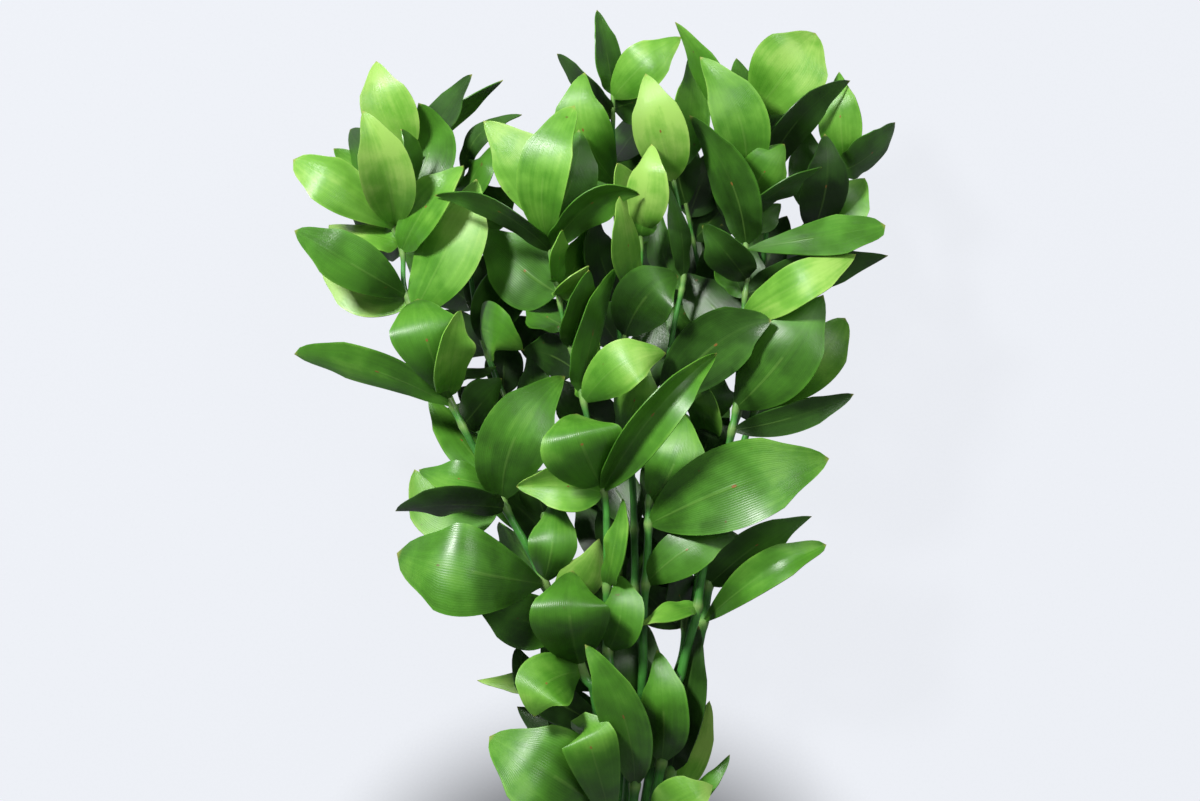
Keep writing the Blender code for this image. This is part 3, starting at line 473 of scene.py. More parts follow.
@dataclass(frozen=True)
class CaneForm:
    """Sizes of a cane."""

    foot_radius: float = 2.5
    top_radius: float = 0.9
    taper_start: float = 0.45
    step: float = 17.0
    sides: int = 6
    fine_step: float = 2.5
    fine_resolution: int = 3
    node_swell: float = 0.35
    node_reach: float = 2.6

    def radius(self, share: float) -> float:
        """Radius at a share of the way from the cut end to the top."""
        taper = max(0.0, share - self.taper_start) / (1 - self.taper_start)
        return self.foot_radius + (self.top_radius - self.foot_radius) * taper

    def radii(self, path: list[Vector]) -> list[float]:
        """Radius at each point of a path."""
        return [self.radius(index / (len(path) - 1)) for index in range(len(path))]

    def nearness(self, height: float, nodes: list[float]) -> float:
        """How near a height is to where a blade grows, up to 1 right at it."""
        nearest = min(abs(height - node) for node in nodes)
        return math.exp(-(nearest / self.node_reach) ** 2)

    def swollen(self, path: list[Vector], nodes: list[float]) -> list[float]:
        """Radius at each point of a path, thicker where a blade grows from it.

        Args:
            path: The cane's centre line.
            nodes: The heights along Y that blades grow from.

        Returns:
            The radii.
        """
        return [
            radius * (1 + self.node_swell * self.nearness(point.y, nodes))
            for point, radius in zip(path, self.radii(path))
        ]


@dataclass(frozen=True)
class BladeForm:
    """Sizes of every blade, and the formula of its surface."""

    solid_thickness: float = 0.8
    thickness: float = 0.5
    petiole_width: float = 1.5
    fullness: float = 1.65
    roll_in: float = 0.2
    turn_limit: float = 0.97
    coarse_rows: tuple[float, ...] = (0.0, 0.12, 0.36, 0.62, 0.85, 1.0)
    foot_rows: int = 2
    fine_columns: int = 8
    fine_rows: int = 22
    crease: float = 0.3
    wave: float = 0.9
    wave_turn: float = 7.0
    ripple: float = 0.45
    ripple_turn: float = 11.0
    tip_start: float = 0.7
    tip_pinch: float = 0.16
    tip_hold: float = 0.8

    def half_width(self, blade: Blade, s: float) -> float:
        """Half of a blade's width.

        Args:
            blade: The blade.
            s: The share of its length.

        Returns:
            Half of its width there.
        """
        if s >= 1.0:
            return 0.0
        crest = blade.belly
        rising = (s / crest) ** (self.fullness * crest)
        falling = ((1 - s) / (1 - crest)) ** (self.fullness * (1 - crest))
        return max(rising * falling * blade.width, self.petiole_width) / 2

    def drawn_in(self, s: float) -> float:
        """How much narrower a blade is towards its drawn-out tip."""
        reach = max(0.0, (s - self.tip_start) / (1 - self.tip_start))
        return 1 - self.tip_pinch * math.sin(math.pi * reach ** self.tip_hold)

    def axes(self, blade: Blade, foot: Vector, s: float) -> tuple[Vector, Vector, Vector]:
        """Midrib of a blade.

        Args:
            blade: The blade.
            foot: Where it grows from its cane.
            s: The share of its length.

        Returns:
            The point on the midrib, and the directions to the blade's left edge and out of its face.
        """
        tip = Vector((*blade.tip, blade.high[1]))
        middle = (foot + tip) / 2
        middle = Vector((middle.x + blade.bend[0], middle.y + blade.bend[1], blade.high[0]))
        pull = middle * 2 - (foot + tip) / 2
        along = ((pull - foot) * (1 - s) + (tip - pull) * s).normalized()
        along.z = max(-self.turn_limit, min(self.turn_limit, along.z))
        left = UP.cross(along).normalized()
        face = along.cross(left).normalized()
        turn = math.radians(blade.roll) * min(1.0, s / self.roll_in)
        side = left * math.cos(turn) + face * math.sin(turn)
        lift = face * math.cos(turn) - left * math.sin(turn)
        return foot * (1 - s) ** 2 + pull * 2 * s * (1 - s) + tip * s * s, side, lift

    def off_floor(self, place: Vector) -> Vector:
        """A place, raised to where a blade lies on the floor if it is lower."""
        place.z = max(place.z, self.solid_thickness / 2)
        return place

    def coarse(self, blade: Blade, foot: Vector) -> Sheet:
        """Points and normals of a blade's solid, three across at each row.

        Args:
            blade: The blade.
            foot: Where it grows from its cane.

        Returns:
            Its rows, from the foot to the tip.
        """
        grid = []
        for s in self.coarse_rows:
            point, side, lift = self.axes(blade, foot, s)
            reach = self.half_width(blade, s) / math.hypot(1.0, blade.cup)
            row = []
            for t in (-1, 0, 1):
                place = self.off_floor(point + side * reach * t + lift * abs(reach * t) * blade.cup)
                row.append((place, (lift - side * blade.cup * t).normalized()))
            grid.append(row)
        return grid

    def fine(self, blade: Blade, foot: Vector, s: float, t: float, across: Across, phase: float) -> Vector:
        """Point of the blade's real surface.

        Args:
            blade: The blade.
            foot: Where it grows from its cane.
            s: The share of its length.
            t: The share across it, from -1 on the right to 1.
            across: How it is curved across.
            phase: Where the waves of its edges start.

        Returns:
            The point.
        """
        point, side, lift = self.axes(blade, foot, s)
        reach = self.half_width(blade, s) * self.drawn_in(s) / math.hypot(1.0, blade.cup)
        fold = math.sqrt(t * t + self.crease ** 2) - self.crease
        rise = reach * (blade.cup * fold * (1 + self.crease) + across.value * t * t)
        waves = self.wave * t * abs(t) * math.sin(s * self.wave_turn + phase)
        waves += self.ripple * t * t * math.sin(s * self.ripple_turn + 2 * phase)
        rise += waves * math.sin(math.pi * s)
        return self.off_floor(point + side * reach * t + lift * rise)


def slab(grid: Sheet, half: float) -> Surface:
    """Closed sheet round a grid.

    Args:
        grid: Rows of points and normals.
        half: Half of the sheet's thickness.

    Returns:
        Its vertices and faces.
    """
    rows, across = len(grid), len(grid[0])
    flat = [pair for row in grid for pair in row]
    count = len(flat)
    points = [point + normal * way for way in (half, -half) for point, normal in flat]
    faces = []
    for row in range(rows - 1):
        for column in range(across - 1):
            a = row * across + column
            b, c, d = a + 1, a + across + 1, a + across
            faces += [(a, b, c), (a, c, d)]
            faces += [(a + count, c + count, b + count), (a + count, d + count, c + count)]
    rim = [row * across for row in range(rows)] + [rows * across - 2]
    rim += [row * across + across - 1 for row in reversed(range(rows))] + [1]
    for a, b in zip(rim, rim[1:] + rim[:1]):
        faces += [(a, b, b + count), (a, b + count, a + count)]
    return points, faces


def tube(path: list[Vector], radii: list[float], margin: float, sides: int) -> Surface:
    """Tube round a path.

    Args:
        path: The centre line.
        radii: The radius at each of its points.
        margin: How much wider the tube is than that.
        sides: The number of its sides.

    Returns:
        Its vertices and faces.
    """
    points, faces = [], []
    for index, (point, radius) in enumerate(zip(path, radii)):
        along = (path[min(index + 1, len(path) - 1)] - path[max(index - 1, 0)]).normalized()
        side = UP.cross(along).normalized()
        face = along.cross(side)
        for corner in range(sides):
            angle = math.tau * corner / sides
            points.append(point + (side * math.cos(angle) + face * math.sin(angle)) * (radius + margin))
    for index in range(len(path) - 1):
        for corner in range(sides):
            a = index * sides + corner
            b = index * sides + (corner + 1) % sides
            faces += [(a, b, b + sides), (a, b + sides, a + sides)]
    return points, faces


class Obstacle:
    """A thing to keep clear of: its box, its whole surface, and its surface away from its own cane."""

    def __init__(self, owner: int, whole: Surface, far: Surface) -> None:
        """Takes what the thing is.

        Args:
            owner: The number of the cane that it belongs to.
            whole: Its whole surface.
            far: Its surface away from that cane.
        """
        self.owner = owner
        self.low = [min(point[axis] for point in whole[0]) for axis in range(3)]
        self.high = [max(point[axis] for point in whole[0]) for axis in range(3)]
        self.whole = BVHTree.FromPolygons(*whole)
        self.far = BVHTree.FromPolygons(*far)

    def apart(self, other: Obstacle) -> bool:
        """True if the two boxes don't meet."""
        sides = zip(self.low, self.high, other.low, other.high)
        return any(low > other_high or high < other_low for low, high, other_low, other_high in sides)

    def hits(self, other: Obstacle) -> bool:
        """Tells whether two things cross, where two on one cane may meet near it.

        Args:
            other: The other thing.

        Returns:
            True if they cross.
        """
        if self.apart(other):
            return False
        if self.owner == other.owner:
            return bool(self.far.overlap(other.far))
        return bool(self.whole.overlap(other.whole))


@dataclass(frozen=True)
class Settling:
    """How blades are bent clear of the canes and of the blades in front of them."""

    clearance: float = 0.45
    height_shifts: tuple[int, ...] = (0, -4, 4, -8, 8, -13, 13, -19, 19, -26, 26, -34)
    roll_shifts: tuple[int, ...] = (0, 12, -12, 26, -26, 42, -42)
    trials: int = 420
    tip_share: float = 0.7
    difference_share: float = 0.3
    roll_share: float = 1 / 3

    def cost(self, middle: float, tip: float, roll: float) -> float:
        """How much a change alters a blade."""
        bend = abs(middle) + self.tip_share * abs(tip) + self.difference_share * abs(middle - tip)
        return bend + self.roll_share * abs(roll)

    def shifts(self) -> list[tuple[float, float, float]]:
        """Changes to a blade's middle height, tip height and roll, the smallest first."""
        choices = [
            (self.cost(middle, tip, roll), middle, tip, roll)
            for middle in self.height_shifts
            for tip in self.height_shifts
            for roll in self.roll_shifts
        ]
        return [choice[1:] for choice in sorted(choices)][: self.trials]

    def changed(self, blade: Blade, middle: float, tip: float, roll: float) -> Blade:
        """A blade with its heights and roll changed."""
        high = (max(blade.high[0] + middle, 0.0), max(blade.high[1] + tip, 0.0))
        return blade._replace(high=high, roll=blade.roll + roll)

    def settle(
        self, paths: list[list[Vector]], cane: CaneForm, form: BladeForm
    ) -> list[list[tuple[Blade, Vector]]]:
        """Places every blade, the highest first.

        Args:
            paths: The centre line of each cane.
            cane: The sizes of the canes.
            form: The sizes of the blades.

        Returns:
            For each cane, its blades as they end up, each with its foot.
        """
        placed = []
        for owner, path in enumerate(paths):
            surface = tube(path, cane.radii(path), self.clearance, cane.sides)
            placed.append(Obstacle(owner, surface, surface))
        order = [(owner, blade) for owner, stem in enumerate(STEMS) for blade in stem.blades]
        order.sort(key=lambda pair: -pair[1].high[0])
        settled: list[list[tuple[Blade, Vector]]] = [[] for _ in STEMS]
        shifts = self.shifts()
        half = form.solid_thickness / 2
        wide = half + self.clearance
        for owner, blade in order:
            foot = foot_on(paths[owner], blade.at)
            for shift in shifts:
                trial = self.changed(blade, *shift)
                grid = form.coarse(trial, foot)
                far = grid[form.foot_rows - 1 :]
                candidate = Obstacle(owner, slab(grid, wide), slab(far, wide))
                if not any(candidate.hits(other) for other in placed):
                    placed.append(Obstacle(owner, slab(grid, half), slab(far, half)))
                    settled[owner].append((trial, foot))
                    break
        return settled


class Graph:
    """The nodes of a material, a group or a world, added and joined one at a time."""

    # A Mix node also has sockets for numbers and vectors. These are its share, its two colours and their mix.
    mix_inputs: tuple[int, int, int] = (0, 6, 7)
    mix_output: int = 2

    def __init__(self, tree: bpy.types.NodeTree) -> None:
        """Takes the node tree to add to."""
        self.tree = tree

    def feed(self, socket: Socket, value: object) -> None:
        """Joins a socket to another, or gives it a plain value.

        Args:
            socket: The socket to feed.
            value: The other socket, or a number, a vector or a colour, which gets its full opacity.
        """
        if isinstance(value, Socket):
            self.tree.links.new(value, socket)
        else:
            socket.default_value = (*value, 1.0) if socket.type == "RGBA" else value

    def node(self, kind: str, *values: object, **settings: object) -> bpy.types.Node:
        """Adds a node.

        Args:
            kind: Its type.
            values: Sockets or plain values for its inputs, in their order.
            settings: Its properties.

        Returns:
            The node.
        """
        made = self.tree.nodes.new(kind)
        for name, value in settings.items():
            setattr(made, name, value)
        for socket, value in zip(made.inputs, values):
            self.feed(socket, value)
        return made

    def fill(self, node: bpy.types.Node, **values: object) -> bpy.types.Node:
        """Feeds the inputs of a node by name.

        Args:
            node: The node.
            values: Sockets or plain values, named as in base_color for Base Color.

        Returns:
            The same node.
        """
        for name, value in values.items():
            self.feed(node.inputs[name.replace("_", " ").title()], value)
        return node

    def math(self, operation: str, *values: object) -> Socket:
        """Works out sockets or numbers with a Math node."""
        return self.node("ShaderNodeMath", *values, operation=operation).outputs[0]

    def sway(self, value: object, depth: float, middle: float = 0.0) -> Socket:
        """Turns a value from 0 to 1 into one that swings by a depth about a middle."""
        return self.math("MULTIPLY_ADD", value, depth, middle - depth / 2)

    def spread(self, value: object, low: float, high: float, start: float = 0.0, end: float = 1.0) -> Socket:
        """Maps low to high smoothly onto start to end, and keeps what is outside at the ends."""
        stretch = (value, low, high, start, end)
        return self.node("ShaderNodeMapRange", *stretch, interpolation_type="SMOOTHSTEP").outputs[0]

    def mix(self, share: object, first: object, second: object) -> Socket:
        """Mixes two colours.

        Args:
            share: How much of the second.
            first: A socket or a colour.
            second: A socket or a colour.

        Returns:
            The mixed colour.
        """
        made = self.node("ShaderNodeMix", data_type="RGBA")
        for index, value in zip(self.mix_inputs, (share, first, second)):
            self.feed(made.inputs[index], value)
        return made.outputs[self.mix_output]

    def layered(self, colour: Socket, *layers: tuple[Socket, float, Colour]) -> Socket:
        """Lays colours over a colour.

        Args:
            colour: The colour below.
            layers: From the lowest up, where each lies, how strongly and in which colour.

        Returns:
            The colour of them all.
        """
        for mask, share, laid in layers:
            colour = self.mix(self.math("MULTIPLY", mask, share), colour, laid)
        return colour

    def ramp(self, value: object, stops: tuple[tuple[float, Colour], ...]) -> Socket:
        """Turns a value into a colour.

        Args:
            value: A socket or a number.
            stops: Places from 0 to 1, each with its colour.

        Returns:
            The colour.
        """
        made = self.node("ShaderNodeValToRGB", value)
        stretch = made.color_ramp.elements
        while len(stretch) < len(stops):
            stretch.new(1.0)
        for element, (place, colour) in zip(stretch, stops):
            element.position = place
            element.color = (*colour, 1.0)
        return made.outputs[0]

    def place(self) -> Socket:
        """The point's place on the object."""
        return self.node("ShaderNodeTexCoord").outputs["Object"]

    def scaled(self, vector: object, scale: Place) -> Socket:
        """A vector scaled along each axis."""
        return self.fill(self.node("ShaderNodeMapping"), vector=vector, scale=scale).outputs[0]

    def noise(self, scale: object, detail: float = 2.0, vector: object = None) -> Socket:
        """Adds a noise texture.

        Args:
            scale: How often it repeats in a metre.
            detail: How many finer noises lie over it.
            vector: What it is read by, or None for the place on the object.

        Returns:
            Its value, from 0 to 1.
        """
        vector = self.place() if vector is None else vector
        made = self.node("ShaderNodeTexNoise")
        return self.fill(made, vector=vector, scale=scale, detail=detail).outputs[0]

    def parts(self, vector: object) -> list[Socket]:
        """The three numbers of a vector."""
        return list(self.node("ShaderNodeSeparateXYZ", vector).outputs)

    def tint(self) -> list[Socket]:
        """The three numbers that each vertex was painted with."""
        painted = self.node("ShaderNodeAttribute", attribute_name=TINT).outputs["Color"]
        return list(self.node("ShaderNodeSeparateColor", painted).outputs)

    def group(self, tree: bpy.types.NodeTree, **values: object) -> list[Socket]:
        """Adds a node group, feeds its named inputs and gives its outputs."""
        return list(self.fill(self.node("ShaderNodeGroup", node_tree=tree), **values).outputs)

    def bump(self, height: Socket, strength: float, distance: float) -> Socket:
        """Turns a height into a normal, with the distance in metres."""
        made = self.node("ShaderNodeBump")
        return self.fill(made, height=height, strength=strength, distance=distance).outputs[0]

    def blend(self, share: object, first: Socket, second: Socket) -> Socket:
        """Mixes two shaders, by the share of the second."""
        return self.node("ShaderNodeMixShader", share, first, second).outputs[0]

    def seen(self) -> Socket:
        """1 for what the camera sees and 0 for what lights other things."""
        return self.node("ShaderNodeLightPath").outputs["Is Camera Ray"]

    def show(self, shader: Socket) -> None:
        """Makes a shader the result of the material or the world."""
        result = next(node for node in self.tree.nodes if node.bl_idname.startswith("ShaderNodeOutput"))
        self.feed(result.inputs[0], shader)


def principled(name: str, specular: float = 0.5) -> tuple[Material, Graph, bpy.types.Node]:
    """A new material with a Principled shader.

    Args:
        name: Its name.
        specular: The shader's specular level.

    Returns:
        The material, its graph and the shader's node.
    """
    material = bpy.data.materials.new(name)
    material.use_nodes = True
    shader = material.node_tree.nodes["Principled BSDF"]
    shader.inputs["Specular IOR Level"].default_value = specular
    return material, Graph(material.node_tree), shader


@dataclass(frozen=True)
class Mottle:
    """The uneven green of a living surface: broad patches, a fine grain, and now and then a brown speck."""

    name: str = "living_mottle"
    patches: float = 45.0
    grain: float = 420.0
    specks: float = 0.0
    patch_edges: tuple[float, float] = (0.3, 0.7)
    grain_depth: float = 0.35
    grain_drop: float = -0.17
    speck_scale: float = 190.0
    speck_edges: tuple[float, float] = (0.75, 0.79)

    def tree(self) -> bpy.types.NodeTree:
        """Builds the node group, with a Shade and a Speck output."""
        tree = bpy.data.node_groups.new(self.name, "ShaderNodeTree")
        for name, value in (("Patches", self.patches), ("Grain", self.grain), ("Specks", self.specks)):
            socket = tree.interface.new_socket(name=name, in_out="INPUT", socket_type="NodeSocketFloat")
            socket.default_value = value
        for name in ("Shade", "Speck"):
            tree.interface.new_socket(name=name, in_out="OUTPUT", socket_type="NodeSocketFloat")
        graph = Graph(tree)
        patches, grain, specks = graph.node("NodeGroupInput").outputs[:3]
        broad = graph.spread(graph.noise(patches), *self.patch_edges)
        fine = graph.math("MULTIPLY_ADD", graph.noise(grain), self.grain_depth, self.grain_drop)
        spots = graph.spread(graph.noise(self.speck_scale), *self.speck_edges)
        shade = graph.math("ADD", broad, fine)
        graph.fill(graph.node("NodeGroupOutput"), shade=shade, speck=graph.math("MULTIPLY", spots, specks))
        return tree


@dataclass(frozen=True)
class BladeFinish:
    """The surface of a blade: parallel veins, a midrib that is pale up to its scar, gloss, light through, and
    painted shade that darkens it towards its foot.

    Places across go from 0 on the midrib to 1 at the rim, and places along from 0 at the foot to 1 at the
    tip. A scale is how often a pattern repeats, and a share how much of a colour lies over the green.
    """

    name: str
    roughness: float
    paler: float
    mottle: bpy.types.NodeTree
    patches: float = 55.0
    grain: float = 600.0
    # Colours by tone: the near black at the low end is painted shade for blades that lie in shadow, the top
    # is the yellow green of a young blade.
    greens: tuple[tuple[float, Colour], ...] = (
        (0.0, (0.008, 0.028, 0.004)),
        (0.3, (0.030, 0.102, 0.010)),
        (0.6, (0.072, 0.245, 0.018)),
        (0.82, (0.165, 0.405, 0.045)),
        (1.0, (0.330, 0.560, 0.110)),
    )
    shade_depth: float = 0.22
    shade_middle: float = -0.02
    seed_depth: float = 0.06
    # Painted shade: each blade is painted darker towards its foot, where the blades over it would shade it.
    painted_foot_shade_reach: float = 0.75
    painted_foot_shade: tuple[float, float] = (-0.18, 0.03)
    rim_edge: float = 0.86
    rim_shade: float = 0.10
    gloss_depth: float = 0.14
    streaks: tuple[float, float, float] = (7.0, 1.6, 40.0)
    streak_detail: float = 3.0
    streak_depth: float = 0.22
    veins: float = 36.0
    fine_veins: float = 2.7
    vein_edge: float = 0.55
    vein_share: float = 0.07
    vein_green: Colour = (0.22, 0.42, 0.08)
    warp_scale: float = 60.0
    warp_depth: float = 0.08
    midrib_edges: tuple[float, float] = (0.015, 0.06)
    midrib_fade: float = 0.02
    midrib_rest: float = 0.25
    midrib_share: float = 0.2
    scar_at: float = 0.47
    scar_scale: tuple[float, float] = (62.0, 26.0)
    scar_edges: tuple[float, float] = (0.35, 1.1)
    scar_share: float = 0.75
    scar_brown: Colour = (0.30, 0.13, 0.03)
    speck_share: float = 0.7
    speck_brown: Colour = (0.12, 0.07, 0.02)
    tip_edge: float = 0.965
    tip_share: float = 0.8
    tip_straw: Colour = (0.35, 0.36, 0.08)
    fine_vein_height: float = 0.4
    midrib_height: float = 5.0
    pore_scale: float = 500.0
    pore_height: float = 1.5
    streak_height: float = 18.0
    bump: tuple[float, float] = (0.30, 0.00005)
    see_through: float = 0.26
    glow_share: float = 0.35
    glow_green: Colour = (0.45, 0.75, 0.05)

    def ripples(self, graph: Graph, across: Socket) -> tuple[Socket, Socket]:
        """Waves for the veins, which run along the blade and wander a little.

        Args:
            graph: The material's graph.
            across: The place across the blade.

        Returns:
            The coarse waves and the fine ones.
        """
        warp = graph.sway(graph.noise(self.warp_scale), self.warp_depth)
        lines = graph.math("MULTIPLY", graph.math("ADD", across, warp), self.veins * math.pi)
        return graph.math("SINE", lines), graph.math("SINE", graph.math("MULTIPLY", lines, self.fine_veins))

    def streak(self, graph: Graph, *where: Socket) -> Socket:
        """Soft lengthwise streaks.

        Args:
            graph: The material's graph.
            where: The place across the blade, the place along it and its own seed.

        Returns:
            The streaks, darker and lighter than nothing.
        """
        scaled = [graph.math("MULTIPLY", part, scale) for part, scale in zip(where, self.streaks)]
        vector = graph.node("ShaderNodeCombineXYZ", *scaled).outputs[0]
        return graph.sway(graph.noise(1.0, self.streak_detail, vector), self.streak_depth)

    def midrib(self, graph: Graph, half: Socket, along: Socket) -> Socket:
        """The line of the midrib, fainter past the scar.

        Args:
            graph: The material's graph.
            half: The place from the midrib to the rim.
            along: The place along the blade.

        Returns:
            How much of the midrib shows.
        """
        line = graph.spread(half, *self.midrib_edges, 1.0, 0.0)
        lower = graph.spread(along, self.scar_at, self.scar_at + self.midrib_fade, 1.0, self.midrib_rest)
        return graph.math("MULTIPLY", line, lower)

    def scar(self, graph: Graph, across: Socket, along: Socket, there: Socket) -> Socket:
        """The round spot on the midrib where a flower stood.

        Args:
            graph: The material's graph.
            across: The place across the blade.
            along: The place along it.
            there: 1 on the blades that have one.

        Returns:
            How much of the spot shows.
        """
        offsets = (graph.math("SUBTRACT", along, self.scar_at), across)
        scaled = [graph.math("MULTIPLY", offset, scale) for offset, scale in zip(offsets, self.scar_scale)]
        distance = graph.math("ADD", *(graph.math("POWER", offset, 2.0) for offset in scaled))
        return graph.math("MULTIPLY", graph.spread(distance, *self.scar_edges, 1.0, 0.0), there)

    def material(self) -> Material:
        """Builds the material."""
        material, graph, shader = principled(self.name)
        from_left, along, _ = graph.parts(graph.node("ShaderNodeUVMap").outputs[0])
        across = graph.math("MULTIPLY_ADD", from_left, 2.0, -1.0)
        half = graph.math("ABSOLUTE", across)
        tone, seed, scarred = graph.tint()
        shade, speck = graph.group(self.mottle, patches=self.patches, grain=self.grain, specks=1.0)
        ripple, fine_ripple = self.ripples(graph, across)
        streak = self.streak(graph, across, along, seed)
        midrib = self.midrib(graph, half, along)
        spot = self.scar(graph, across, along, scarred)

        # The tone is partly the blade's own colour and partly painted shade for blades in shadow.
        level = graph.math("ADD", tone, self.paler)
        for part in (
            graph.sway(shade, self.shade_depth, self.shade_middle),
            graph.math("MULTIPLY_ADD", seed, self.seed_depth, streak),
            # painted shade, darker towards the blade's foot
            graph.spread(along, 0.0, self.painted_foot_shade_reach, *self.painted_foot_shade),
            graph.math("MULTIPLY", graph.spread(half, self.rim_edge, 1.0), self.rim_shade),
        ):
            level = graph.math("ADD", level, part)
        brown = graph.math("MAXIMUM", spot, graph.math("MULTIPLY", speck, self.speck_share))
        colour = graph.layered(
            graph.ramp(level, self.greens),
            (graph.spread(ripple, self.vein_edge, 1.0), self.vein_share, self.vein_green),
            (midrib, self.midrib_share, self.vein_green),
            (brown, 1.0, self.speck_brown),
            (spot, self.scar_share, self.scar_brown),
            (graph.spread(along, self.tip_edge, 1.0), self.tip_share, self.tip_straw),
        )

        relief = ripple
        for part, height in (
            (fine_ripple, self.fine_vein_height),
            (midrib, self.midrib_height),
            (graph.noise(self.pore_scale), self.pore_height),
            (streak, self.streak_height),
        ):
            relief = graph.math("MULTIPLY_ADD", part, height, relief)
        normal = graph.bump(relief, *self.bump)
        rough = graph.sway(shade, self.gloss_depth, self.roughness)
        graph.fill(shader, base_color=colour, roughness=rough, normal=normal)
        glow = graph.node("ShaderNodeBsdfTranslucent")
        graph.fill(glow, color=graph.mix(self.glow_share, colour, self.glow_green), normal=normal)
        graph.show(graph.blend(self.see_through, shader.outputs[0], glow.outputs[0]))
        return material


@dataclass(frozen=True)
class CaneFinish:
    """The surface of a cane: lengthwise ribs, paler where a blade grows."""

    mottle: bpy.types.NodeTree
    name: str = "cane_skin"
    roughness: float = 0.38
    patches: float = 90.0
    grain: float = 700.0
    specks: float = 0.6
    rib_scale: float = 900.0
    rib_stretch: Place = (1.0, 0.03, 1.0)
    rib_detail: float = 3.0
    rib_share: float = 0.4
    dark: Colour = (0.015, 0.085, 0.010)
    light: Colour = (0.060, 0.260, 0.035)
    node_share: float = 0.55
    node_green: Colour = (0.24, 0.36, 0.10)
    speck_share: float = 0.6
    speck_brown: Colour = (0.13, 0.09, 0.03)
    bump: tuple[float, float] = (0.4, 0.0002)

    def material(self) -> Material:
        """Builds the material."""
        material, graph, shader = principled(self.name)
        shade, speck = graph.group(self.mottle, patches=self.patches, grain=self.grain, specks=self.specks)
        ribs = graph.noise(self.rib_scale, self.rib_detail, graph.scaled(graph.place(), self.rib_stretch))
        ribbed = graph.math("MULTIPLY", ribs, self.rib_share)
        level = graph.math("MULTIPLY_ADD", shade, 1.0 - self.rib_share, ribbed)
        colour = graph.layered(
            graph.mix(level, self.dark, self.light),
            (graph.tint()[0], self.node_share, self.node_green),
            (speck, self.speck_share, self.speck_brown),
        )
        graph.fill(shader, base_color=colour, roughness=self.roughness, normal=graph.bump(ribs, *self.bump))
        return material


@dataclass(frozen=True)
class CutFinish:
    """The pale, fibrous face of a cut cane."""

    name: str = "cut_end"
    roughness: float = 0.75
    specular: float = 0.25
    fibre_scale: float = 2600.0
    fibre_detail: float = 3.0
    green: Colour = (0.30, 0.36, 0.14)
    straw: Colour = (0.62, 0.64, 0.38)
    bump: tuple[float, float] = (0.5, 0.0002)

    def material(self) -> Material:
        """Builds the material."""
        material, graph, shader = principled(self.name, self.specular)
        fibres = graph.noise(self.fibre_scale, self.fibre_detail)
        colour = graph.mix(fibres, self.green, self.straw)
        normal = graph.bump(fibres, *self.bump)
        graph.fill(shader, base_color=colour, roughness=self.roughness, normal=normal)
        return material


@dataclass(frozen=True)
class BandFinish:
    """Plain tan rubber, a little dusty."""

    name: str = "band_rubber"
    colour: Colour = (0.52, 0.33, 0.14)
    specular: float = 0.4
    dust_scale: float = 500.0
    dust_detail: float = 4.0
    dust_paler: tuple[float, float] = (0.5, 0.3)
    dust_cover: tuple[float, ...] = (0.45, 0.75, 0.0, 0.5)
    dust_rough: tuple[float, ...] = (0.3, 0.7, 0.45, 0.7)
    bump: tuple[float, float] = (0.3, 0.0002)

    def material(self) -> Material:
        """Builds the material."""
        material, graph, shader = principled(self.name, self.specular)
        dust = graph.noise(self.dust_scale, self.dust_detail)
        keep, lift = self.dust_paler
        dusty = tuple(keep * value + lift for value in self.colour)
        colour = graph.mix(graph.spread(dust, *self.dust_cover), self.colour, dusty)
        rough = graph.spread(dust, *self.dust_rough)
        graph.fill(shader, base_color=colour, roughness=rough, normal=graph.bump(dust, *self.bump))
        return material


def deselect() -> None:
    """Leaves nothing selected."""
    for thing in bpy.context.view_layer.objects:
        thing.select_set(False)


def only(*things: bpy.types.Object) -> None:
    """Selects these objects alone, and makes the first one active."""
    deselect()
    for thing in things:
        thing.select_set(True)
    bpy.context.view_layer.objects.active = things[0]


def paint(mesh: bpy.types.Mesh, values: list[float]) -> None:
    """Gives every vertex of a mesh its tint, as four numbers each."""
    layer = mesh.color_attributes.new(TINT, "FLOAT_COLOR", "POINT")
    layer.data.foreach_set("color", values)


